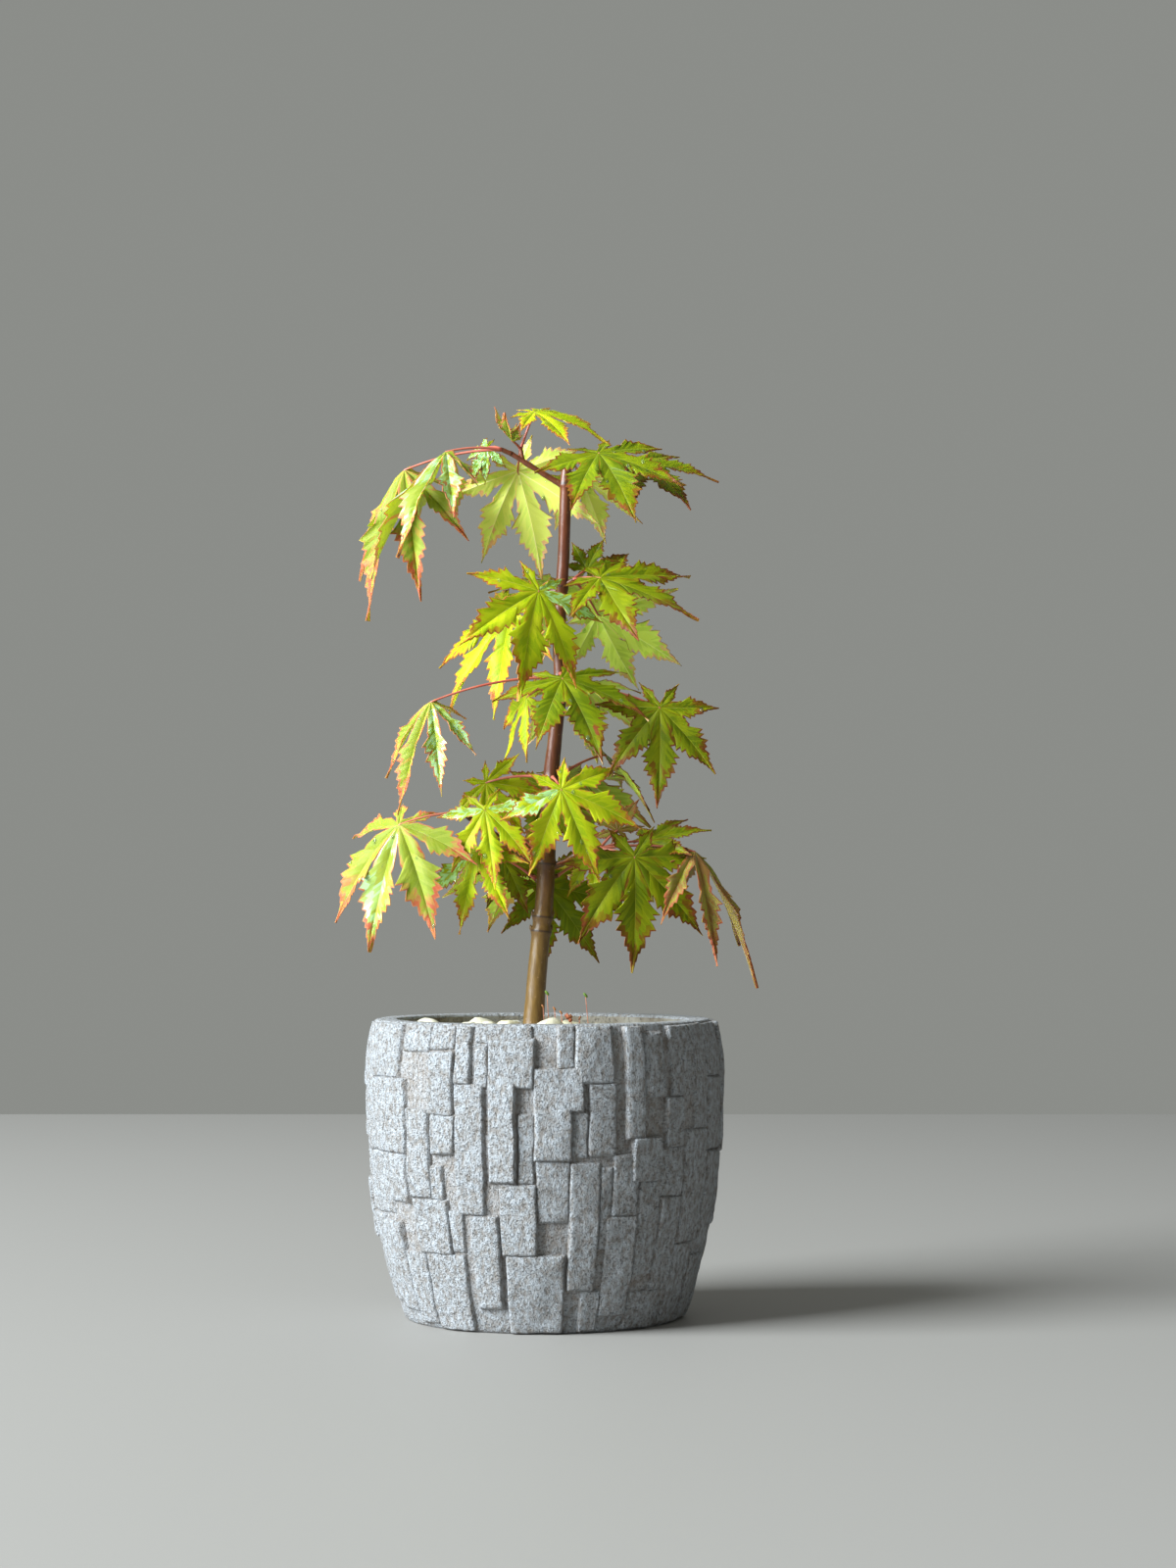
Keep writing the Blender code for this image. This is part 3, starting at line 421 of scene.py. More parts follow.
# The waves of the slabs come from vector noise, which without a seed differs from run to run
noise.seed_set(SLAB_SEED)
for left, right, bottom, top, proud in list(FRONT_SLABS) + back_slabs():
    add_part(pot_mesh, slab_block(left, right, bottom * MM, top * MM, proud * MM))
for face in pot_mesh.faces:
    middle = face.calc_center_median()
    inside = middle.xy.length < wall_radius(max(middle.z, 0)) - WALL_THICKNESS / 2
    if inside and INSIDE_FLOOR / 2 < middle.z < STAIN_TOP:
        face.material_index = 1
pot = new_piece("concrete_pot", pot_mesh, (cement, stained), ("pot",))
pot.data.set_sharp_from_angle(angle=math.radians(POT_SHARP))

# Soil
# Moist potting mix of fine bark and grit, pressed flat. Only its surface shows, in the gaps
# between the pebbles that cover it.

loam = grainy_material(
    "loam",
    {"Roughness": 0.85},
    pale=(0.07, 0.045, 0.03),
    dark=(0.02, 0.013, 0.009),
    scales=(300, 700, 1),
    relief=1.2 * MM,
    pit_shade=0.4,
)[0]
soil = bpy.data.objects["soil"]
soil.data.materials.clear()
soil.data.materials.append(loam)

# Pebbles
# A mulch of small washed pebbles, cream to pale yellow. They are river-worn and lie loose on the
# soil, with smaller ones between the large.

SOIL_TOP = 98.5 * MM
PEBBLES_SEEN = (  # across, back, length, width and height in mm
    (2.2, -12.6, 12.6, 10, 9.2),
    (-12.6, -6, 9.8, 8.4, 8.2),
    (-27.4, -8, 9.6, 8.2, 7.6),
    (-44.6, 2, 8.2, 7.4, 7.2),
    (19.4, -5, 8.2, 7.6, 7.0),
    (-19.4, 5, 8.4, 7, 6.8),
)
PEBBLE_LENGTHS = (8, 13)
PEBBLE_WIDTHS = (0.72, 0.92)
PEBBLE_HEIGHTS = (0.48, 0.64)
PEBBLE_PACKING = 0.42
PEBBLE_TURN = 0.5
PEBBLE_TILT = 0.25
PEBBLE_SINK = 0.08  # how much of its height lies in the soil
PEBBLE_LUMPS = ((2.4, 0.34), (6, 0.08))  # how close its lumps are, and how high
PEBBLE_COUNT = 24
PEBBLE_TRIES = 960
PEBBLE_SEED = 5
SMALL_LENGTHS = (3.6, 7.5)
SMALL_TRIES = 5200
BED_OUTER = 51.2 * MM
BED_INNER = 8.5 * MM
STEM_FOOT = Vector((-3.8, 0)) * MM
STEM_CLEAR = 4.6 * MM


def pebble_places():
    """The larger pebbles by the seeded rule, then smaller ones wherever there is room."""
    rng = random.Random(PEBBLE_SEED)
    places = [tuple(value * MM for value in pebble) for pebble in PEBBLES_SEEN]
    wanted = PEBBLE_COUNT + len(places)
    for attempt in range(PEBBLE_TRIES + SMALL_TRIES):
        small = len(places) >= wanted or attempt >= PEBBLE_TRIES
        length = rng.uniform(*(SMALL_LENGTHS if small else PEBBLE_LENGTHS)) * MM
        reach = math.sqrt(rng.uniform(0.03, 1)) * (BED_OUTER - length / 2)
        turn = rng.uniform(0, math.tau)
        x, y = reach * math.cos(turn), reach * math.sin(turn)
        near = any(
            math.hypot(x - other[0], y - other[1]) < PEBBLE_PACKING * (length + other[2])
            for other in places
        )
        clear = STEM_CLEAR if small else BED_INNER
        if not near and (Vector((x, y)) - STEM_FOOT).length > clear + length / 2:
            width = length * rng.uniform(*PEBBLE_WIDTHS)
            places.append((x, y, length, width, length * rng.uniform(*PEBBLE_HEIGHTS)))
    return places


washed, tree, shader, colours = grainy_material(
    "washed_pebble",
    {"Roughness": 0.45},
    pale=(0.78, 0.76, 0.68),
    dark=(0.6, 0.57, 0.45),
    scales=(180, 1500, 1),
    relief=0.15 * MM,
    pit_shade=0.85,
)
tone = node(tree, "ShaderNodeAttribute", attribute_name="tone").outputs["Fac"]
tones = ramped(tree, tone, (0, (1, 1, 1)), (0.6, (0.95, 0.93, 0.8)), (1, (0.8, 0.74, 0.5)))
tree.links.new(mixed(tree, 1.0, colours, tones, "MULTIPLY"), shader.inputs["Base Color"])

pebble_mesh = bmesh.new()
tone = pebble_mesh.verts.layers.float.new("tone")
rng = random.Random(PEBBLE_SEED + 1)
for x, y, length, width, height in pebble_places():
    fine = 3 if length > PEBBLE_LENGTHS[0] * MM else 2
    stone = bmesh.ops.create_icosphere(pebble_mesh, subdivisions=fine, radius=0.5)["verts"]
    turn = Matrix.Rotation(rng.uniform(-PEBBLE_TURN, PEBBLE_TURN), 3, "Z")
    tilt = Matrix.Rotation(rng.uniform(-PEBBLE_TILT, PEBBLE_TILT), 3, "X")
    offset = Vector((x, y, length)) * 1000
    shade = rng.random()
    for vert in stone:
        vert.co *= 1 + sum(noise.noise(vert.co * close + offset) * high for close, high in PEBBLE_LUMPS)
        vert[tone] = shade
    bmesh.ops.scale(pebble_mesh, vec=(length, width, height), verts=stone)
    bmesh.ops.rotate(pebble_mesh, matrix=turn @ tilt, verts=stone)
    low = min(vert.co.z for vert in stone)
    bmesh.ops.translate(pebble_mesh, vec=(x, y, SOIL_TOP - low - PEBBLE_SINK * height), verts=stone)
new_piece("pebble_mulch", pebble_mesh, (washed,), ("pebbles",))

# Moss
# A low cushion of moss has grown on the soil at the foot of the stem. Its thin red stalks stand
# up between the pebbles, each with a green or brown capsule at its end.

MOSS_MIDDLE = Vector((6.4, -3.4, 99.4)) * MM
MOSS_SIZE = Vector((5.6, 3.92, 3.36)) * MM  # half of the cushion's breadth, depth and height
MOSS_LUMP = 0.25
MOSS_LEAVES = 340
MOSS_SEED = 3
MOSS_LEAF = (0.34 * MM, 1.5 * MM)  # radius and length
MOSS_STALKS = (  # foot, then the capsule's place, in mm, and whether it is ripe
    ((2.4, -3.2, 101), (1.5, -3.6, 116.2), False),
    ((16.8, -3, 100), (15.4, -3.4, 115.4), False),
    ((0.8, -3.4, 101), (0.1, -3.8, 111.4), True),
    ((5, -4, 101), (4.2, -4.2, 110.6), True),
    ((7.4, -3.6, 101), (6.6, -4, 109.2), True),
    ((10.6, -3, 101), (10.2, -3.4, 108), True),
    ((12.8, -2.6, 100), (13.3, -3, 107.2), True),
)
MOSS_STALK_RADIUS = 0.13 * MM
MOSS_CAPSULE = Vector((0.5, 0.5, 1.15)) * MM  # radii and half length
CAPSULE_LEANS = (0.5, -0.7)  # to the right and to the left
RIPE_SHARE = 0.75  # size of a ripe, shrunken capsule beside a green one
MOSS_COLOURS = {
    "moss_green": ((0.05, 0.1, 0.012), (0.16, 0.24, 0.02)),
    "moss_stalk": ((0.3, 0.07, 0.03), (0.5, 0.2, 0.1)),
    "moss_capsule": ((0.08, 0.16, 0.01), (0.16, 0.26, 0.02)),
    "moss_ripe": ((0.12, 0.04, 0.015), (0.4, 0.16, 0.04)),
}


def blotchy_material(name, values, scale, low, high):
    """A material that wanders between two colours, each given with the noise where it starts."""
    made, tree, shader = new_material(name, values)
    where = node(tree, "ShaderNodeTexCoord").outputs["Object"]
    blotch = node(tree, "ShaderNodeTexNoise", {"Vector": where, "Scale": scale}).outputs["Fac"]
    tree.links.new(ramped(tree, blotch, low, high), shader.inputs["Base Color"])
    return made


def add_turned(whole, part, turn, place, finish=0):
    """Turns a part, puts it in its place, gives it one finish and adds it to a piece."""
    bmesh.ops.rotate(part, matrix=turn, verts=part.verts)
    bmesh.ops.translate(part, vec=place, verts=part.verts)
    for face in part.faces:
        face.material_index = finish
    add_part(whole, part)


mossy = [
    blotchy_material(name, {"Roughness": 0.6}, 700.0, (0.35, one), (0.65, other))
    for name, (one, other) in MOSS_COLOURS.items()
]
moss_mesh = bmesh.new()
moss_rng = random.Random(MOSS_SEED)
bmesh.ops.create_icosphere(moss_mesh, subdivisions=3, radius=1)
for vert in moss_mesh.verts:
    lump = 1 + MOSS_LUMP * noise.noise(vert.co * 2.5)
    vert.co = MOSS_MIDDLE + vert.co * MOSS_SIZE * lump
for number in range(MOSS_LEAVES):
    sideways, backwards, upwards = (moss_rng.gauss(0, 1) for _ in range(3))
    way = Vector((sideways, backwards, abs(upwards) + 0.1)).normalized()
    turn = way.to_track_quat("Z", "Y").to_matrix()
    radius, length = MOSS_LEAF
    blade = bmesh.new()
    bmesh.ops.create_cone(blade, cap_ends=True, segments=4, radius1=radius, radius2=0, depth=length)
    add_turned(moss_mesh, blade, turn, MOSS_MIDDLE + way * MOSS_SIZE)
for foot, tip, ripe in MOSS_STALKS:
    start, end = Vector(foot) * MM, Vector(tip) * MM
    stalk = bmesh.new()
    bmesh.ops.create_cone(
        stalk,
        cap_ends=True,
        segments=8,
        radius1=MOSS_STALK_RADIUS,
        radius2=MOSS_STALK_RADIUS,
        depth=(end - start).length,
    )
    turn = (end - start).to_track_quat("Z", "Y").to_matrix()
    add_turned(moss_mesh, stalk, turn, (start + end) / 2, 1)
    capsule = bmesh.new()
    bmesh.ops.create_icosphere(capsule, subdivisions=2, radius=1)
    size = MOSS_CAPSULE * (RIPE_SHARE if ripe else 1)
    bmesh.ops.scale(capsule, vec=size, verts=capsule.verts)
    lean = Matrix.Rotation(CAPSULE_LEANS[tip[0] <= foot[0]], 3, "Y")
    add_turned(moss_mesh, capsule, lean, end, 3 if ripe else 2)
new_piece("moss", moss_mesh, mossy)

# Fallen scrap
# A withered, curled scrap of last year's leaf that lies on the pebbles. It is thin, dry and
# red-brown.

SCRAP_PLACE = Vector((8.8, -6.5, 107)) * MM
SCRAP_SIZE = (3.4 * MM, 2.2 * MM)
SCRAP_THICKNESS = 0.25 * MM
SCRAP_LEAN = 0.9

withered = blotchy_material(
    "withered_leaf", {"Roughness": 0.7}, 900.0, (0.3, (0.1, 0.02, 0.008)), (0.7, (0.36, 0.1, 0.03))
)
scrap_mesh = bmesh.new()
bmesh.ops.create_grid(scrap_mesh, x_segments=14, y_segments=8, size=1)
for vert in scrap_mesh.verts:
    x, y = vert.co.x, vert.co.y
    narrow = (1 - 0.75 * x * x) * (1 + 0.3 * noise.noise(Vector((x * 4, y, 0))))
    curl = 0.5 * y * y + 0.35 * noise.noise(Vector((x * 2, y * 2, 3)))
    vert.co = Vector((x * SCRAP_SIZE[0] / 2, y * narrow * SCRAP_SIZE[1] / 2, curl * SCRAP_SIZE[1]))
drawn = bmesh.ops.extrude_face_region(scrap_mesh, geom=scrap_mesh.faces[:])["geom"]
raised = [item for item in drawn if isinstance(item, bmesh.types.BMVert)]
bmesh.ops.translate(scrap_mesh, vec=(0, 0, SCRAP_THICKNESS), verts=raised)
bmesh.ops.recalc_face_normals(scrap_mesh, faces=scrap_mesh.faces)
bmesh.ops.rotate(scrap_mesh, matrix=Matrix.Rotation(SCRAP_LEAN, 3, "Y"), verts=scrap_mesh.verts)
bmesh.ops.translate(scrap_mesh, vec=SCRAP_PLACE, verts=scrap_mesh.verts)
new_piece("leaf_scrap", scrap_mesh, (withered,))

# Stem and boughs
# The young tree's one leaning stem and its three short boughs, in smooth thin bark: olive at the
# foot, red-brown higher up. Rings and dark scars show where leaves have stood in pairs.

TRUNK_LINE = (  # across, back, height and thickness in mm
    (-3.8, 0, 98.8, 11.4),
    (-3.7, 0, 101.4, 9),
    (-3.3, 0, 106.5, 7.6),
    (-1.8, 0.3, 126.7, 6.9),
    (0.5, 0.8, 150, 6.6),
    (1.2, 0.8, 163, 6.4),
    (2.8, 0.4, 193, 5.8),
    (4.4, -0.2, 209, 5.1),
    (6.3, -0.4, 229, 5),
    (5.8, -0.2, 245, 4.6),
    (7.4, 0.2, 275, 4.3),
    (8.2, 0.4, 301, 4.1),
    (8.3, 0.5, 306.5, 3.2),
)
TRUNK_NODES = (138, 143.5, 163, 193, 229, 263.5, 301)
BOUGH_LINES = {
    "bough_lower_left": (
        (1.2, 0.8, 160.5, 3),
        (-6, 0, 165.2, 2.3),
        (-16.7, -1.5, 172.9, 1.9),
        (-27, -3, 179.6, 1.7),
    ),
    "bough_lower_right": (
        (1.2, 0.8, 161, 3),
        (8, 0, 163.6, 2.3),
        (13, -0.6, 166.6, 2.1),
        (18.3, -1, 167.4, 2),
    ),
    "bough_top_left": (
        (8.2, 0.4, 300, 2.8),
        (2.4, 0, 303.4, 2),
        (-3.6, -0.8, 307, 1.9),
        (-12, -1.6, 312.2, 1.7),
    ),
}
BOUGH_NODES = (0.34, 0.66, 0.97)  # shares of a bough's length
BARK_SPACING = 0.7 * MM
STEM_SIDES = 28
BOUGH_SIDES = 16
NODE_SWELL = 0.2
NODE_WIDTH = 1.2 * MM
SCAR_WIDTH = 0.3 * MM
BARK_RELIEF = 0.09 * MM
RIDGE_SIZE = 1.6 * MM
RIDGE_STRETCH = 0.3  # ridges run along the stem
BUD_SIZE = (1.5 * MM, 1.3 * MM, 2.8 * MM)
BUD_POINT = 0.9  # how much narrower its tip is
BUD_PLACE = (0.2 * MM, -0.4 * MM, 1.1 * MM)  # out from the bark, back and up from its node
BUD_LEAN = 0.35
BUD_NODES = 2  # the lowest nodes, which still carry buds
SCAR_DEPTH = 0.15 * MM
OLIVE_BARK = (0.19, 0.11, 0.024)
RED_BARK = (0.115, 0.032, 0.01)
PLUM_BARK = (0.175, 0.046, 0.017)


def smooth_line(points, spacing):
    """Stations at about a spacing along a smooth curve through points of four values."""
    ends = [2 * points[0] - points[1]] + points + [2 * points[-1] - points[-2]]
    line = []
    for before, start, end, after in zip(ends, ends[1:], ends[2:], ends[3:]):
        count = max(1, round((end - start).to_3d().length / spacing))
        for n in range(count):
            t = n / count
            line.append(0.5 * (
                2 * start
                + t * (end - before)
                + t * t * (2 * before - 5 * start + 4 * end - after)
                + t * t * t * (3 * start - before - 3 * end + after)
            ))
    return line + [points[-1]]


def limb_line(rows):
    """Stations in metres, as x, y, z and radius, from rows in mm with a thickness."""
    points = [Vector((x, y, z, thickness / 2)) * MM for x, y, z, thickness in rows]
    return smooth_line(points, BARK_SPACING)


def rounded(line, steps=4):
    """The stations of a line with a few more that close its end like a dome."""
    heading = (line[-1] - line[-2]).to_3d().normalized()
    place, radius = line[-1].to_3d(), line[-1].w
    dome = []
    for n in range(1, steps + 1):
        turn = math.pi / 2 * n / steps
        spot = place + heading * radius * math.sin(turn)
        dome.append(Vector((*spot, radius * max(math.cos(turn), 0.05))))
    return line + dome


def lengths_along(line):
    """How far each station of a line is from its start."""
    lengths = [0.0]
    for one, other in zip(line, line[1:]):
        lengths.append(lengths[-1] + (other - one).to_3d().length)
    return lengths


def add_tube(whole, line, sides, relief=None):
    """Adds a closed tube, stretched from a plain drum with a ring for each station of a line.

    The relief function gives a change of radius and a scar value for a station and a spot on it.
    """
    part = bmesh.new()
    rings = len(line) - 1
    bmesh.ops.create_cone(part, cap_ends=True, segments=sides, radius1=1, radius2=1, depth=rings)
    upright = [edge for edge in part.edges if abs(edge.verts[0].co.z - edge.verts[1].co.z) > 0.5]
    if rings > 1:
        bmesh.ops.subdivide_edges(part, edges=upright, cuts=rings - 1, use_grid_fill=True)
    scar = part.verts.layers.float.new("scar")
    frames = []
    side = Vector((1, 0, 0))
    for number, station in enumerate(line):
        before = line[max(number - 1, 0)].to_3d()
        after = line[min(number + 1, rings)].to_3d()
        heading = (after - before).normalized()
        side = (side - side.project(heading)).normalized()
        frames.append((station.to_3d(), side.copy(), heading.cross(side), station.w))
    for vert in part.verts:
        number = round(vert.co.z + rings / 2)
        place, side, back, radius = frames[number]
        turn = math.atan2(vert.co.y, vert.co.x)
        around = side * math.cos(turn) + back * math.sin(turn)
        if relief:
            change, vert[scar] = relief(number, place + around * radius)
            radius += change
        vert.co = place + around * radius
    add_part(whole, part)


def bark_relief(line, nodes):
    """Relief of bark along a line: a ring and a scar at each leaf node, and long low ridges."""
    lengths = lengths_along(line)

    def relief(number, spot):
        swell = scar = 0.0
        for node_at in nodes:
            gap = lengths[number] - node_at
            swell += NODE_SWELL * line[number].w * math.exp(-((gap / NODE_WIDTH) ** 2))
            scar += math.exp(-((gap / SCAR_WIDTH) ** 2))
        long_spot = Vector((spot.x, spot.y, spot.z * RIDGE_STRETCH)) / RIDGE_SIZE
        ridges = noise.noise(long_spot) + 0.5 * noise.noise(long_spot * 2.7)
        return swell + BARK_RELIEF * ridges - SCAR_DEPTH * scar, scar

    return relief


young_bark, tree, shader = new_material("young_bark", {"Roughness": 0.36, "Specular IOR Level": 0.5})
where = node(tree, "ShaderNodeTexCoord").outputs["Object"]
up = node(tree, "ShaderNodeSeparateXYZ", {0: where}).outputs["Z"]
height = spread(tree, up, 0.1, 0.31)
tones = ramped(tree, height, (0.16, OLIVE_BARK), (0.36, RED_BARK), (0.85, PLUM_BARK))
stretch = node(tree, "ShaderNodeVectorMath", {0: where, 1: (1, 1, 0.22)}, operation="MULTIPLY")
feeds = {"Vector": stretch.outputs[0], "Scale": 900.0, "Detail": 5.0, "Roughness": 0.65}
streaks = node(tree, "ShaderNodeTexNoise", feeds).outputs["Fac"]
streak_tones = ramped(tree, streaks, (0.3, (0.55, 0.5, 0.48)), (0.7, (1, 1, 1)))
tones = mixed(tree, 1.0, tones, streak_tones, "MULTIPLY")
specks = node(tree, "ShaderNodeTexVoronoi", {"Vector": where, "Scale": 420.0}).outputs["Distance"]
corky = spread(tree, specks, 0.06, 0.16, 0.35, 0.0)
tones = mixed(tree, corky, tones, (0.42, 0.27, 0.17, 1))
scars = node(tree, "ShaderNodeAttribute", attribute_name="scar").outputs["Fac"]
tones = mixed(tree, spread(tree, scars, 0.2, 0.9, 0.0, 0.85), tones, (0.03, 0.014, 0.01, 1))
tree.links.new(tones, shader.inputs["Base Color"])
bumped(tree, shader, streaks, 0.6, 0.25 * MM)

stem_mesh = bmesh.new()
stem_line = rounded(limb_line(TRUNK_LINE))
stem_lengths = lengths_along(stem_line)
stem_nodes = []
for height in TRUNK_NODES:
    number = next(n for n, station in enumerate(stem_line) if station.z >= height * MM)
    stem_nodes.append(stem_lengths[number])
add_tube(stem_mesh, stem_line, STEM_SIDES, bark_relief(stem_line, stem_nodes))
for height in TRUNK_NODES[:BUD_NODES]:
    station = next(spot for spot in stem_line if spot.z >= height * MM)
    for turn in (-1, 1):
        bud = bmesh.new()
        bmesh.ops.create_icosphere(bud, subdivisions=2, radius=0.5)
        for vert in bud.verts:
            vert.co.xy *= 1 - BUD_POINT * max(vert.co.z, 0)
        bmesh.ops.scale(bud, vec=BUD_SIZE, verts=bud.verts)
        out, back, up = BUD_PLACE
        spot = station.to_3d() + Vector((turn * (station.w + out), back, up))
        add_turned(stem_mesh, bud, Matrix.Rotation(BUD_LEAN * turn, 3, "Y"), spot)
new_piece("stem_bark", stem_mesh, (young_bark,), ("trunk",))

bough_mesh = bmesh.new()
for rows in BOUGH_LINES.values():
    line = rounded(limb_line(rows))
    whole = lengths_along(line)[-1]
    nodes = [share * whole for share in BOUGH_NODES]
    add_tube(bough_mesh, line, BOUGH_SIDES, bark_relief(line, nodes))
new_piece("bough_bark", bough_mesh, (young_bark,), tuple(BOUGH_LINES))

# Leaves
# Soft thin blades of seven toothed lobes, each on its own stalk. They are fresh and wet: young
# ones lime with coral tips, older ones deep green with a red margin. Colour is by patch.

DOWN = Vector((0, 0, -1))
LOBE_ANGLES = (-142, -92, -44, 0, 44, 92, 142)
LOBE_SIZES = (0.34, 0.64, 0.88, 1, 0.88, 0.64, 0.34)
SINUS = {  # depth of the notch between two lobes, as a share of the shorter one
    "coral_tipped": 0.16,
    "lime": 0.26,
    "fresh": 0.38,
    "deep": 0.46,
    "tan": 0.2,
}
BASE_NOTCH = 0.05  # depth of the notch at the stalk, as a share of the middle lobe
FOLD = 7  # degrees that each half of a lobe is folded up along its rib
CUP_FOLD = 0.5  # and what it gains with the closing of the lobes
HANG_LEAST = 0.1  # share of the hang that a lobe pointing back past the stalk keeps
HANG_CURL = 0.3  # how much a hanging lobe curls under the blade
LOBE_STEPS = 10
ANGLE_PLAY = 4  # degrees that a lobe may stand off its angle
SIZE_PLAY = 0.06
SWAY = 0.2  # how much a lobe bends sideways
TWIST = 20  # degrees that a lobe turns by its tip
OUTLINE = (  # along the lobe and half its breadth there, as shares of its length
    (0.3, 0.11),
    (0.4, 0.162),
    (0.48, 0.188),
    (0.56, 0.188),
    (0.64, 0.155),
    (0.72, 0.11),
    (0.8, 0.069),
    (0.88, 0.033),
    (0.94, 0.014),
    (1, 0),
)
BASE_ROWS = 4  # rows of the blade between the stalk and the notch beside a lobe
PLAIN_ROWS = 4  # and from there to the first tooth
NOTCH_BLEND = 0.12  # length past the notch over which a lobe takes its own breadth
OUT_LEAST = 0.3  # least share of that breadth that is left between two teeth
SMALL_LOBE = 0.45  # below this size a lobe has 4 teeth on each side, and below the next one 6
MIDDLE_LOBE = 0.75
NOTCH_LEAST = 0.02  # least length of a lobe that lies beside the next one
TEETH_START = 0.38
TEETH_END = 0.94
TEETH_SHRINK = 0.93
PITCH_PLAY = (0.8, 1.2)
COARSE_PITCH = 1.3  # every second tooth is coarse, and those between are fine
FINE_PITCH = 0.7
COARSE_REACH = (1.3, 2.1)
FINE_REACH = (0.5, 0.9)
TOOTH = (  # along a tooth, and how far in or out of the outline
    (0.04, -0.5),
    (0.42, -0.1),
    (0.75, 0.24),
    (0.97, 0.5),
)
TOOTH_LEAST = 0.014  # height of a tooth as a share of the lobe's length
TOOTH_SHARE = 0.2  # and what it gains with the lobe's breadth
TOOTH_FADE = 0.4  # length before the tip over which the teeth shrink away
SLANT = 1.15  # how far forward the side veins run for each step outward
COLUMNS = 5  # strips of the blade from the rib to the margin
COLUMN_SHARES = (0.38, 0.7)  # where the middle two strips end
RIB_WIDTH = 0.17 * MM
RIB_MOST = 0.25  # and its most, as a share of the blade's breadth there
MARGIN_WIDTH = 0.4 * MM
MARGIN_MOST = 0.2
LEAST_WIDTH = 0.01 * MM
BLADE_THICKNESS = 0.22 * MM
ARCH = 0.009  # rise of each half between rib and margin, as a share of the lobe's length
QUILT = 0.02 * MM  # rise between two side veins
WAVE = 0.045  # height of the wave in a blade, as a share of the lobe's length
WAVE_ROWS = 6  # rows past the notch over which the wave grows
LEAF_SHARP = 70  # degrees from which an edge stays sharp
DROP_SPOT = 0.25 * MM * MM  # least area of a face that holds a drop
DEW_SHARE = 7  # specks of dew on a blade for each drop

# Colours of a blade by place: its body with darker and yellower patches, its lines, three steps
# towards red, a film of water and the wet blade round it, both paler and bluer with painted sheen,
# and the underside, pale partly of itself and partly with painted light shining through. A tint
# then says how red a place has to be before each step starts.
BLADE_PARTS = (
    "body", "patch", "glow",
    "rib", "vein", "margin",
    "blush", "flush", "tip",
    "film", "damp",
    "under", "under_patch", "under_rib", "under_edge",
)
UNDERSIDE = {
    "body": "under", "glow": "under", "vein": "under", "film": "under", "damp": "under",
    "patch": "under_patch", "blush": "under_patch", "rib": "under_rib",
    "margin": "under_edge", "flush": "under_edge", "tip": "under_edge",
}
PATCH_OVER = 0.1
GLOW_UNDER = -0.2
RIB_END = 0.9
MARGIN_OVER = -0.25
# Where a lobe with a film of water takes the painted sheen colours of the film and the damp blade round it
SHEEN_FILM_REACH = (0.06, 0.85)
SHEEN_FILM_OVER = 0.1
DAMP_SHEEN_OVER = -0.2
RED_EDGE = 0.5  # how much redder the blade is at its margin
RED_TIP = 0.9  # and how fast it reddens along a lobe
RED_TIP_FROM = 0.45
RED_BLOTCH = 0.42
RED_SPECK = 0.2
PATCH_NOISE = (2.2, 5, 3)  # steps of the patches across a lobe, along it and from lobe to lobe
WAVE_NOISE = (3.5, 1, 2)  # and of the wave along it, across and from lobe to lobe
# The film and damp colours of each tint are painted sheen, paler and bluer than the blade
Tint = namedtuple("Tint", BLADE_PARTS + ("blush_from", "flush_from", "tip_from"))
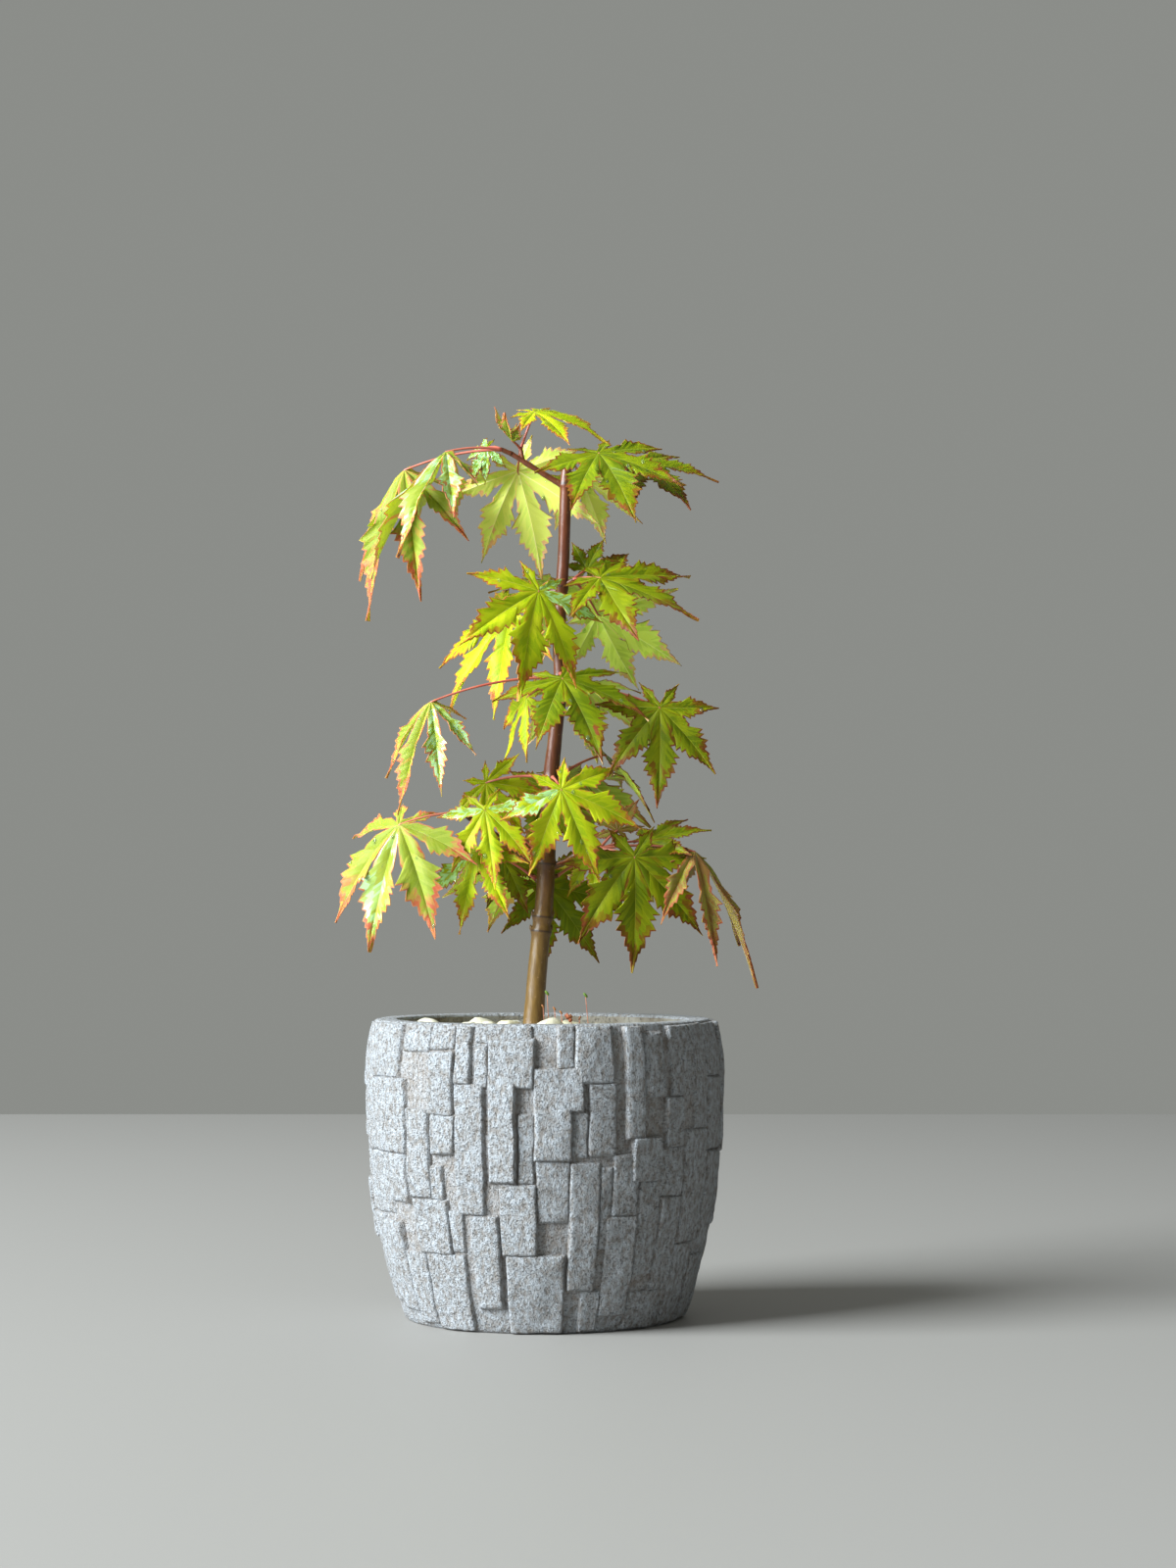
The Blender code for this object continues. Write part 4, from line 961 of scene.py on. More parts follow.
# The four underside colours of each tint are pale partly of themselves and partly with painted light
# shining through the blade
TINTS = {
    "coral_tipped": Tint(
        (0.254, 0.312, 0.0287), (0.221, 0.287, 0.0246), (0.303, 0.344, 0.0492),
        (0.369, 0.41, 0.0984), (0.271, 0.328, 0.041), (0.41, 0.139, 0.0656),
        (0.353, 0.271, 0.0492), (0.394, 0.189, 0.0574), (0.41, 0.107, 0.0492),
        (0.37, 0.57, 0.28), (0.3, 0.42, 0.11),
        (0.525, 0.609, 0.105), (0.462, 0.557, 0.084), (0.63, 0.693, 0.21), (0.62, 0.32, 0.16),
        0.24, 0.32, 0.42,
    ),
    "lime": Tint(
        (0.355, 0.431, 0.00373), (0.271, 0.364, 0.0028), (0.42, 0.468, 0.00934),
        (0.468, 0.504, 0.0561), (0.373, 0.438, 0.00561), (0.355, 0.121, 0.028),
        (0.392, 0.337, 0.00748), (0.402, 0.243, 0.0112), (0.392, 0.121, 0.028),
        (0.44, 0.76, 0.32), (0.31, 0.456, 0.086),
        (0.69, 0.79, 0.15), (0.59, 0.74, 0.12), (0.853, 0.85, 0.301), (0.74, 0.42, 0.2),
        0.33, 0.43, 0.54,
    ),
    "fresh": Tint(
        (0.145, 0.196, 0.00126), (0.107, 0.158, 0.00126), (0.19, 0.234, 0.00189),
        (0.253, 0.285, 0.0379), (0.164, 0.215, 0.00253), (0.164, 0.0506, 0.00886),
        (0.17, 0.151, 0.00253), (0.177, 0.0946, 0.00379), (0.19, 0.0506, 0.0126),
        (0.34, 0.62, 0.27), (0.175, 0.287, 0.056),
        (0.546, 0.71, 0.104), (0.442, 0.614, 0.078), (0.65, 0.792, 0.234), (0.62, 0.4, 0.17),
        0.31, 0.42, 0.55,
    ),
    "deep": Tint(
        (0.166, 0.209, 0.00131), (0.113, 0.161, 0.000874), (0.209, 0.244, 0.00175),
        (0.297, 0.315, 0.0262), (0.175, 0.218, 0.00175), (0.14, 0.0349, 0.00874),
        (0.175, 0.144, 0.00175), (0.157, 0.0786, 0.00349), (0.175, 0.0437, 0.0131),
        (0.24, 0.46, 0.19), (0.148, 0.242, 0.0468),
        (0.33, 0.418, 0.044), (0.264, 0.352, 0.033), (0.44, 0.484, 0.11), (0.32, 0.18, 0.06),
        0.25, 0.35, 0.5,
    ),
    "tan": Tint(
        (0.26, 0.225, 0.045), (0.27, 0.15, 0.045), (0.25, 0.26, 0.035),
        (0.42, 0.34, 0.14), (0.29, 0.23, 0.06), (0.24, 0.06, 0.025),
        (0.3, 0.17, 0.05), (0.3, 0.12, 0.045), (0.34, 0.1, 0.045),
        (0.5, 0.44, 0.24), (0.38, 0.32, 0.14),
        (0.28, 0.22, 0.07), (0.25, 0.16, 0.06), (0.4, 0.3, 0.13), (0.3, 0.15, 0.06),
        0.26, 0.38, 0.54,
    ),
}

BLADE_LOOK = {
    "Specular IOR Level": 0.16,
    "Subsurface Weight": 0.75,
    "Subsurface Scale": 0.8 * MM,
    "Subsurface Radius": (1.0, 1.0, 0.2),
}
FILM_LOOK = {"Coat Weight": 0.8, "Coat Roughness": 0.1}

# A leaf: where its stalk meets the blade (mm), length of its middle lobe (mm), where that lobe
# points, which way the blade faces, how far the lobes close like an umbrella (degrees), how hard
# they hang down, how broad the lobes are, its tint, how many drops of water lie on it, and which
# of its lobes hold a film of water, coloured with painted sheen
Leaf = namedtuple("Leaf", "place length aim face cup hang broad tint drops film", defaults=((),))

# A mass: the root of its stem, the stem's end, and its leaves
Mass = namedtuple("Mass", "root stem leaves")
MASSES = {
    "foliage_top_left": Mass((-11.4, -1.6, 311.8), (-15, -2.6, 313.3), (
        Leaf(
            (-50.8, 4, 306.7), 57, (-0.7, -0.4, -0.5), (-0.4, -0.5, 0.75), 42, 1.0, 0.66,
            'coral_tipped', 16,
        ),
        Leaf(
            (-35.1, -8, 311.7), 54, (-1, 0, -0.1), (-0.1, -0.1, 1), 42, 0.9, 0.74,
            'coral_tipped', 60, (3, 4, 5),
        ),
        Leaf(
            (-20.6, 7, 315.4), 16, (-0.6, 0.1, -0.5), (-0.3, -0.8, 0.5), 26, 0.2, 1,
            'fresh', 6, (1, 2, 3, 4, 5),
        ),
    )),
    "foliage_top_crown": Mass((-7.6, -1.2, 309.7), (-8.2, 1.4, 314), (
        Leaf((-9.6, 12, 307.5), 42, (0.3, 0.1, -0.95), (0.1, 0.95, 0.3), 10, 0.2, 0.85, "lime", 4),
        Leaf(
            (-11.2, -3, 316.4), 14.5, (-0.9, -0.1, 0.3), (-0.5, 0.1, -0.85), 44, 0, 1.2,
            'coral_tipped', 4,
        ),
        Leaf((-3.2, 2, 327.5), 30, (0.95, -0.15, -0.1), (0, -0.35, 0.9), 5, 0.6, 0.85, "lime", 12),
    )),
    "foliage_top_right": Mass((8.2, 0.4, 304), (10.4, -1.2, 308.4), (
        Leaf((20.2, -9, 311), 40, (0.36, -0.75, -0.56), (0, -0.6, 0.8), 5, 0.4, 0.9, "fresh", 46),
        Leaf((33, 12, 311), 38, (0.64, -0.69, -0.32), (0, -0.42, 0.9), 5, 0.4, 0.8, "deep", 24),
        Leaf((13.4, 16, 306), 34, (0.35, 0.75, -0.4), (0.1, 0.2, 0.9), 10, 0.5, 0.9, "lime", 20),
    )),
    "foliage_mid_left": Mass((6.8, 0, 263.5), (2.6, -3.2, 265), (
        Leaf(
            (-1.4, -17, 260.2), 43, (-0.12, -0.5, -0.8), (0.4, -0.75, 0.5), 5, 0.6, 0.85,
            'lime', 26, (5, 6),
        ),
    )),
    "foliage_mid_reach": Mass((6.8, 0, 262), (1.6, 2.6, 262.5), (
        Leaf((-12.1, 8, 254.9), 47, (-0.75, 0, -0.65), (-0.3, -0.6, 0.7), 12, 0.6, 0.75, "lime", 12),
    )),
    "foliage_mid_right": Mass((6.8, 0, 263.5), (11, -1.5, 266), (
        Leaf((20.6, -4, 266.3), 41, (0.91, -0.33, -0.25), (0, -0.6, 0.8), 5, 0.3, 0.9, "deep", 30),
        Leaf((19.9, 16, 254.9), 38, (0.92, 0.15, -0.38), (0, 0.85, 0.5), 5, 0.2, 0.9, "fresh", 4),
        Leaf((16, 3, 270), 15, (0.35, 0.3, 0.9), (0, -0.9, 0.3), 5, 0.2, 1, "fresh", 6),
    )),
    "foliage_mid_back": Mass((6.8, 0.2, 265), (7.5, 5, 268), (
        Leaf((4, 24, 268), 42, (-0.1, 0.9, -0.3), (0, 0.4, 0.9), 10, 0.6, 0.9, "fresh", 20),
    )),
    "foliage_centre": Mass((6.2, -0.4, 229), (6.4, -5, 231.5), (
        Leaf((7.1, -13, 229), 42, (0.42, -0.7, -0.55), (0, -0.6, 0.8), 5, 0.6, 0.85, "fresh", 22),
    )),
    "foliage_left_reach": Mass((6.3, -0.4, 230.5), (2, -3.4, 230.2), (
        Leaf(
            (-40.1, -12, 220.8), 42, (-0.7, -0.5, -0.5), (-0.2, -0.5, 0.8), 42, 0.9, 0.66,
            'coral_tipped', 40, (4, 5),
        ),
    )),
    "foliage_centre_left": Mass((6.2, -0.4, 228), (1.6, 2.4, 228.5), (
        Leaf((-6, 12, 224), 30, (-0.5, 0.3, -0.8), (-0.2, -0.5, 0.8), 10, 0.3, 0.9, "lime", 8),
    )),
    "foliage_right_upper": Mass((6.2, -0.4, 227), (10.6, -1.6, 227.5), (
        Leaf((42.2, -8, 219), 36, (0.03, -0.15, -1), (0.1, -1, 0.1), 5, 0.25, 0.85, "deep", 14),
    )),
    "foliage_centre_back": Mass((6.2, -0.4, 228.5), (6.5, 4.4, 230), (
        Leaf((12, 26, 230), 40, (0.2, 0.9, -0.4), (0, 0.4, 0.9), 10, 0.6, 0.9, "fresh", 20),
    )),
    "foliage_lower_centre": Mass((2.8, 0.4, 193), (3.6, -5, 194), (
        Leaf((6.7, -14, 189.2), 38, (0.46, -0.2, -0.87), (0.05, -0.85, 0.5), 5, 0.4, 0.9, "lime", 22, (1,)),
    )),
    "foliage_right_inner": Mass((2.8, 0.4, 194), (7.2, 2, 195.5), (
        Leaf((22.9, 18, 203.2), 32, (0.65, 0.4, -0.6), (0, -0.3, 0.95), 5, 0.3, 0.85, "deep", 10),
    )),
    "foliage_left_inner": Mass((2.8, 0.4, 193.5), (-1.8, -0.5, 194.5), (
        Leaf((-20.8, 3.5, 192.4), 25, (0.66, 0, -0.72), (0, -1, 0.1), 4, 0.3, 0.9, "lime", 10),
    )),
    "foliage_left_behind": Mass((2.8, 0.4, 191), (0, 4.4, 190.6), (
        Leaf((2.8, 13, 190), 27, (-0.4, 0.05, -0.9), (0, -0.95, 0.2), 0, 0.2, 0.9, "fresh", 6),
    )),
    "foliage_lower_back": Mass((2.8, 0.4, 192.5), (3.6, 5.4, 194), (
        Leaf((9, 28, 196), 42, (0.3, 0.8, -0.4), (0, 0.4, 0.9), 10, 0.6, 0.9, "deep", 20),
    )),
    "foliage_lower_left": Mass((-26.4, -2.9, 179.2), (-29.5, -3.4, 181.2), (
        Leaf(
            (-51.8, -6, 176.8), 50, (-0.45, -0.4, -0.8), (-0.3, -0.65, 0.7), 20, 1.0, 0.88,
            'coral_tipped', 30, (3,),
        ),
    )),
    "foliage_left_low": Mass((1.2, 0.8, 164), (-2.6, -2.2, 167.5), (
        Leaf(
            (-20.8, -10, 182), 30, (0.12, -0.3, -0.9), (-0.1, -0.9, 0.4), 10, 0.4, 0.8,
            'lime', 10, (1, 5),
        ),
        Leaf(
            (-23.8, -6, 167.2), 31, (-0.28, -0.15, -0.95), (-0.3, -0.8, 0.5), 12, 0.3, 0.75,
            'lime', 8, (2,),
        ),
    )),
    "foliage_right_low": Mass((17.8, -1, 167.3), (20.5, -1.6, 168.2), (
        Leaf((33, -8, 165.1), 43, (0.08, -0.1, -1), (0.25, -0.95, 0.15), 5, 0.2, 0.95, "deep", 16),
        Leaf((37.6, 5, 171), 24, (0.9, -0.1, 0.3), (0, -0.5, 0.85), 5, 0.3, 0.9, "deep", 6),
        Leaf((55, 0, 167.2), 54, (0.9, -0.1, -0.4), (0.4, -0.3, 0.85), 34, 0.9, 0.55, "tan", 6),
        Leaf((27, 3, 175), 16, (-0.2, -0.1, 0.9), (0, -0.8, 0.3), 5, 0.3, 0.9, "tan", 2),
    )),
    "foliage_right_under": Mass((1, 0.8, 157.5), (5.2, 2.8, 158.5), (
        Leaf((17.8, 5, 165), 17, (-0.6, 0.1, -0.75), (-0.1, -0.9, 0.3), 5, 0.2, 0.9, "lime", 4),
    )),
    "foliage_under_right": Mass((0.8, 0.8, 151), (2.6, 5.4, 153), (
        Leaf((0.7, 12, 154.4), 36, (0.66, 0.1, -0.72), (0, -0.95, 0.3), 4, 0.4, 0.8, "fresh", 6),
    )),
    "foliage_under_back": Mass((0.8, 0.8, 155), (-2.6, 4.2, 157), (
        Leaf((-14.6, 5.5, 164.7), 22, (0.45, 0, -0.85), (0, -1, 0.1), 2, 0.1, 0.9, "deep", 4),
        Leaf((-9, 26, 166), 38, (-0.4, 0.75, -0.5), (0, 0.5, 0.85), 10, 0.4, 0.9, "fresh", 16),
    )),
}


def lobe_axes(leaf, angle):
    """The heading and the normal with which a lobe starts, and the blade's own face."""
    aim = Vector(leaf.aim).normalized()
    face = Vector(leaf.face)
    face = (face - face.project(aim)).normalized()
    outward = aim * math.cos(angle) + face.cross(aim) * math.sin(angle)
    cup = math.radians(leaf.cup)
    heading = outward * math.cos(cup) - face * math.sin(cup)
    return heading, face * math.cos(cup) + outward * math.sin(cup), face


def lobe_spine(leaf, angle, size, sway=0.0, twist=0.0):
    """The middle line of a lobe as frames of place, heading, normal and side."""
    heading, normal, face = lobe_axes(leaf, angle)
    share = HANG_LEAST + (1 - HANG_LEAST) * (1 + math.cos(angle)) / 2
    pull = (DOWN - HANG_CURL * face).normalized() * leaf.hang * share + normal.cross(heading) * sway
    place = Vector(leaf.place) * MM
    step = leaf.length * MM * size / LOBE_STEPS
    frames = []
    for n in range(LOBE_STEPS + 1):
        bent = (heading + pull * (n / LOBE_STEPS) * size).normalized()
        upright = (normal - normal.project(bent)).normalized()
        upright.rotate(Matrix.Rotation(twist * n / LOBE_STEPS, 3, bent))
        frames.append((place.copy(), bent, upright, upright.cross(bent)))
        place += bent * step
    return frames


def on_lobe(frames, along, out, length, fold, rise=0.0):
    """A point of a lobe's blade, where out is positive towards the next lobe."""
    reach = min(max(along, 0), 1) * LOBE_STEPS
    index = min(int(reach), LOBE_STEPS - 1)
    share = reach - index
    place = frames[index][0].lerp(frames[index + 1][0], share)
    normal = frames[index][2].lerp(frames[index + 1][2], share)
    side = frames[index][3].lerp(frames[index + 1][3], share)
    folded = side * out * math.cos(fold) + normal * abs(out) * math.sin(fold)
    return place + folded * length + normal * rise


def half_breadth(along):
    """Half the breadth of a lobe at a place along it, without its teeth."""
    for (start, one), (end, other) in zip(OUTLINE, OUTLINE[1:]):
        if along <= end:
            return one + (other - one) * max(along - start, 0) / (end - start)
    return 0.0


def margin_rows(teeth, start, start_out, broad, rng):
    """Rows of half a lobe: along, out, toothless out, and place between two side veins.

    They run beside the next lobe, on past the notch, and then from tooth to tooth to the tip.
    """
    shares = [n / BASE_ROWS for n in range(BASE_ROWS + 1)]
    rows = [(start * share, start_out * share, start_out * share, 0) for share in shares]
    coarse = [n % 2 == 0 for n in range(teeth)]
    pitches = []
    for n, big in enumerate(coarse):
        pitch = TEETH_SHRINK ** n * (COARSE_PITCH if big else FINE_PITCH)
        pitches.append(pitch * rng.uniform(*PITCH_PLAY))
    gap = TEETH_START - start
    places = [(gap * n / (PLAIN_ROWS + 1) + start, 0, 0) for n in range(1, PLAIN_ROWS + 1)]
    begin = TEETH_START
    for pitch, big in zip(pitches, coarse):
        bold = rng.uniform(*(COARSE_REACH if big else FINE_REACH))
        pitch *= (TEETH_END - TEETH_START) / sum(pitches)
        places += [(begin + step * pitch, reach * bold, step) for step, reach in TOOTH]
        begin += pitch
    for along, reach, step in places:
        clear = min((along - start) / NOTCH_BLEND, 1)
        steady = start_out + (half_breadth(along) * broad - start_out) * clear
        least = TOOTH_LEAST * min((1 - along) / TOOTH_FADE, 1)
        out = steady + reach * (least + TOOTH_SHARE * steady)
        rows.append((along, max(out, OUT_LEAST * steady), steady, step))
    return rows + [(1, 0, 0, 0)]


def notch_borders(leaf, angles, lengths):
    """For each lobe, how far along it and out from it the notch after it lies, and how far in."""
    borders = []
    for n, angle in enumerate(angles):
        other = (n + 1) % len(angles)
        half = ((angles[other] - angle) % math.tau) / 2
        depth = SINUS[leaf.tint] * min(lengths[n], lengths[other])
        if other == 0:
            depth = BASE_NOTCH * leaf.length * MM
        borders.append((depth * math.cos(half), depth * math.sin(half), depth))
    return borders


# A blade: its leaf, and for each lobe its spine, length and notch, then its fold and its noise
Blade = namedtuple("Blade", "leaf spines lengths borders fold seed")


def part_at(blade, n, across, along, vein, toothed):
    """The part of a blade that shows at a place of a lobe."""
    column = abs(across) * COLUMNS
    wide, far, apart = PATCH_NOISE
    spot = Vector((across * wide, along * far, n * apart + blade.seed))
    shade = noise.noise(spot)
    red = RED_EDGE * (column / COLUMNS) ** 3 + RED_TIP * max(along - RED_TIP_FROM, 0)
    red += RED_BLOTCH * noise.noise(spot * 1.7) + RED_SPECK * noise.noise(spot * 6)
    part = "patch" if shade > PATCH_OVER else "glow" if shade < GLOW_UNDER else "body"
    if vein:
        part = "vein"
    for step in ("blush", "flush", "tip"):
        if red > getattr(TINTS[blade.leaf.tint], step + "_from"):
            part = step
    if column < 1 and along < RIB_END:
        part = "rib"
    if column > COLUMNS - 1 and toothed and noise.noise(spot * 3) > MARGIN_OVER:
        part = "margin"
    # A lobe with a film of water gets pale, bluish painted sheen here, with a fainter painted sheen round
    # it
    if n in blade.leaf.film and column < COLUMNS - 1 and SHEEN_FILM_REACH[0] < along < SHEEN_FILM_REACH[1]:
        wet = noise.noise(spot * 1.8) + 0.7 * noise.noise(spot * 7)
        part = "film" if wet > SHEEN_FILM_OVER else "damp" if wet > DAMP_SHEEN_OVER else part
    return part


def shared_border(blade, n, turn, step):
    """A point that a lobe shares with the next, at a share of the way out to their notch."""
    count = len(blade.spines)
    if (n if turn > 0 else n - 1) % count == count - 1:
        hub = Vector(blade.leaf.place) * MM
        return hub - Vector(blade.leaf.aim).normalized() * blade.borders[-1][2] * step
    other = (n + turn) % count
    beside = blade.borders[n if turn > 0 else other]
    meeting = Vector()
    for lobe, way in ((n, turn), (other, -turn)):
        length = blade.lengths[lobe]
        far, wide = beside[0] * step / length, beside[1] * step / length
        meeting += on_lobe(blade.spines[lobe], far, way * wide, length, blade.fold) / 2
    return meeting


def blade_point(blade, n, turn, row, column, edge, rib):
    """Where a point of a lobe lies, by its row and its column from the rib to the edge."""
    along, out, steady, between = edge
    length = blade.lengths[n]
    wide = max(out * length, LEAST_WIDTH)
    rib_share = min(RIB_WIDTH / wide, RIB_MOST)
    margin_share = min(MARGIN_WIDTH / wide, MARGIN_MOST)
    share = (0, rib_share, *COLUMN_SHARES, 1 - margin_share, 1)[column]
    far = rib + (along - rib) * share
    bulge = math.sin(math.pi * min(share * out / max(steady, 0.001), 1))
    rise = bulge * ARCH * length * min(steady * 10, 1)
    rise += QUILT * bulge * math.sin(math.pi * between)
    free = min(max(row - BASE_ROWS, 0) / WAVE_ROWS, 1)
    longways, sideways, apart = WAVE_NOISE
    spot = Vector((far * longways, turn * share * sideways, n * apart + blade.seed))
    rise += WAVE * length * noise.noise(spot) * share * free
    place = on_lobe(blade.spines[n], far, turn * out * share, length, blade.fold, rise)
    if row <= BASE_ROWS and share > 0:
        own = on_lobe(blade.spines[n], along, turn * out, length, blade.fold)
        place += (shared_border(blade, n, turn, row / BASE_ROWS) - own) * share * share
    return place


def lobe_grid(blade, n, halves):
    """One lobe: a plain grid laid out between its two toothed edges, its faces marked."""
    last = len(halves[1]) - 1
    ribs = [
        max((one[0] + other[0]) / 2 - SLANT * (one[2] + other[2]) / 2, 0)
        for one, other in zip(halves[1], halves[-1])
    ]
    grid = bmesh.new()
    bmesh.ops.create_grid(grid, x_segments=2 * COLUMNS, y_segments=last, size=1)
    for face in grid.faces:
        middle = face.calc_center_median()
        row = int((middle.y + 1) / 2 * last)
        edge = halves[1][row]
        along = ribs[row] + (edge[0] - ribs[row]) * abs(middle.x)
        vein = edge[3] == TOOTH[-1][0]
        part = part_at(blade, n, middle.x, along, vein, row > BASE_ROWS)
        face.material_index = BLADE_PARTS.index(part)
    for vert in grid.verts:
        column = round(vert.co.x * COLUMNS)
        row = round((vert.co.y + 1) / 2 * last)
        turn = 1 if column >= 0 else -1
        vert.co = blade_point(blade, n, turn, row, abs(column), halves[turn][row], ribs[row])
    return grid


def blade_sheet(leaf, rng, play):
    """A leaf's blade as one sheet of seven lobes, its faces marked with their part of the blade."""
    angles = [math.radians(a + rng.uniform(-ANGLE_PLAY, ANGLE_PLAY)) for a in LOBE_ANGLES]
    sizes = [size * rng.uniform(1 - SIZE_PLAY, 1 + SIZE_PLAY / 2) for size in LOBE_SIZES]
    lengths = [leaf.length * MM * size for size in sizes]
    spines = []
    for angle, size in zip(angles, sizes):
        twist = math.radians(play.uniform(-TWIST, TWIST))
        spines.append(lobe_spine(leaf, angle, size, play.uniform(-SWAY, SWAY), twist))
    borders = notch_borders(leaf, angles, lengths)
    fold = math.radians(FOLD + CUP_FOLD * leaf.cup)
    blade = Blade(leaf, spines, lengths, borders, fold, play.uniform(0, 100))
    sheet = bmesh.new()
    for n, size in enumerate(sizes):
        teeth = 4 if size < SMALL_LOBE else 6 if size < MIDDLE_LOBE else 8
        halves = {}
        for turn, border in ((1, borders[n]), (-1, borders[n - 1])):
            start, out = border[0] / lengths[n], border[1] / lengths[n]
            halves[turn] = margin_rows(teeth, max(start, NOTCH_LEAST), out, leaf.broad, play)
        add_part(sheet, lobe_grid(blade, n, halves))
    bmesh.ops.remove_doubles(sheet, verts=sheet.verts, dist=MERGE)
    bmesh.ops.recalc_face_normals(sheet, faces=sheet.faces)
    face_way = lobe_axes(leaf, 0)[2]
    if sum(face.normal.dot(face_way) * face.calc_area() for face in sheet.faces) < 0:
        bmesh.ops.reverse_faces(sheet, faces=sheet.faces)
    return sheet


def thicken(sheet):
    """Gives a blade its thickness: its faces are drawn up, and those left below are its underside."""
    below = sheet.faces[:]
    drawn = bmesh.ops.extrude_face_region(sheet, geom=below)["geom"]
    top = [item for item in drawn if isinstance(item, bmesh.types.BMFace)]
    raised = {vert for face in top for vert in face.verts}
    kept = set(top)
    ways = {}
    for vert in raised:
        ways[vert] = sum((face.normal for face in vert.link_faces if face in kept), Vector())
    for vert, way in ways.items():
        vert.co += way.normalized() * BLADE_THICKNESS
    # The underside takes its pale colours, partly painted light shining through
    for face in below:
        part = BLADE_PARTS[face.material_index]
        face.material_index = BLADE_PARTS.index(UNDERSIDE[part])
    bmesh.ops.recalc_face_normals(sheet, faces=sheet.faces)
    return sheet


leaf_meshes = {name: bmesh.new() for name in TINTS}
leaf_nodes = {name: [] for name in TINTS}
drop_places = []
for number, (name, mass) in enumerate(MASSES.items()):
    rng = random.Random(name)
    play = random.Random(number)
    for leaf in mass.leaves:
        sheet = blade_sheet(leaf, rng, play)
        inner = [n for n, part in enumerate(BLADE_PARTS) if part not in ("margin", "tip", "vein")]
        dry = [
            face for face in sheet.faces
            if face.material_index in inner and face.calc_area() > DROP_SPOT
        ]
        wetted = play.sample(dry, min(leaf.drops * (1 + DEW_SHARE), len(dry)))
        for index, face in enumerate(wetted):
            middle, way = face.calc_center_median(), face.normal.copy()
            drop_places.append((middle, way, play.random(), index >= leaf.drops))
        add_part(leaf_meshes[leaf.tint], thicken(sheet))
        leaf_nodes[leaf.tint].append(name)
for name, tint in TINTS.items():
    finishes = []
    for part in BLADE_PARTS:
        values = {"Base Color": (*getattr(tint, part), 1), **BLADE_LOOK}
        # The film's pale colour is painted sheen; its coat adds a real gloss on top
        if part == "film":
            values.update(FILM_LOOK)
        finish, tree, shader = new_material(f"{name}_{part}", values)
        where = node(tree, "ShaderNodeTexCoord").outputs["Object"]
        feeds = {"Vector": where, "Scale": 1400.0, "Detail": 3.0}
        cells = node(tree, "ShaderNodeTexNoise", feeds).outputs["Fac"]
        bumped(tree, shader, cells, 0.5, 0.12 * MM)
        tree.links.new(spread(tree, cells, 0.3, 0.7, 0.4, 0.62), shader.inputs["Roughness"])
        finishes.append(finish)
    replaced = sorted(set(leaf_nodes[name]))
    piece = new_piece(f"leaves_{name}", leaf_meshes[name], finishes, replaced)
    piece.data.set_sharp_from_angle(angle=math.radians(LEAF_SHARP))

# Leaf stalks and shoots
# Each leaf hangs on a thin wiry stalk, pink-red in the light, from a short shoot on its limb.
# A stalk arches out and is a little thicker where it leaves the shoot.

STALK_RADIUS = 0.55 * MM
STALK_TAPER = 0.35
STALK_ARCH = 0.1
STALK_SINK = 1.6 * MM  # how far it runs on under the blade
STALK_STATIONS = 16
STALK_SWELL = 0.5  # how much thicker it is where it leaves the shoot
STALK_SWELL_FALL = 18
STALK_END = 0.3
SHOOT_RADIUS = 0.95 * MM
SHOOT_TAPER = 0.8
SHOOT_STEPS = 6
SHOOT_SIDES = 12
STALK_SIDES = 10

stalk_red = blotchy_material(
    "stalk_red",
    {"Roughness": 0.4, "Coat Weight": 0.2, "Coat Roughness": 0.2},
    60.0,
    (0.35, (0.42, 0.07, 0.05)),
    (0.65, (0.62, 0.2, 0.13)),
)
stalk_mesh = bmesh.new()
shoot_mesh = bmesh.new()
for mass in MASSES.values():
    root, end = Vector(mass.root) * MM, Vector(mass.stem) * MM
    shoot = []
    for n in range(SHOOT_STEPS + 1):
        radius = SHOOT_RADIUS * (1 - (1 - SHOOT_TAPER) * n / SHOOT_STEPS)
        shoot.append(Vector((*root.lerp(end, n / SHOOT_STEPS), radius)))
    relief = bark_relief(shoot + shoot[:4], (lengths_along(shoot)[-1],))
    add_tube(shoot_mesh, rounded(shoot), SHOOT_SIDES, relief)
    for leaf in mass.leaves:
        tip = Vector(leaf.place) * MM
        heading = lobe_axes(leaf, 0)[0]
        middle = (end + tip) / 2 - DOWN * STALK_ARCH * (tip - end).length
        stations = []
        for n in range(STALK_STATIONS):
            t = n / (STALK_STATIONS - 1)
            place = end * (1 - t) ** 2 + middle * 2 * t * (1 - t) + tip * t * t
            swell = 1 + STALK_SWELL * math.exp(-t * STALK_SWELL_FALL)
            radius = STALK_RADIUS * (1 - STALK_TAPER * t) * swell
            stations.append(Vector((*place, radius)))
        stations.append(Vector((*(tip + heading * STALK_SINK), stations[-1].w * STALK_END)))
        add_tube(stalk_mesh, stations, STALK_SIDES)
new_piece("leaf_stalks", stalk_mesh, (stalk_red,), tuple(MASSES))
new_piece("shoot_bark", shoot_mesh, (young_bark,), tuple(MASSES))

# Water drops
# The plant has just been misted, so beads of water lie on the upper faces of the leaves.

DROP_SIZES = (0.22, 0.85)  # radius in mm
DROP_FLATNESS = 0.5
DROP_STRETCH = 0.6  # how much longer than wide the largest drop is
DROP_LIFT = 0.12  # height of its middle above the blade, as a share of its radius
DEW_SIZES = (0.13, 0.3)

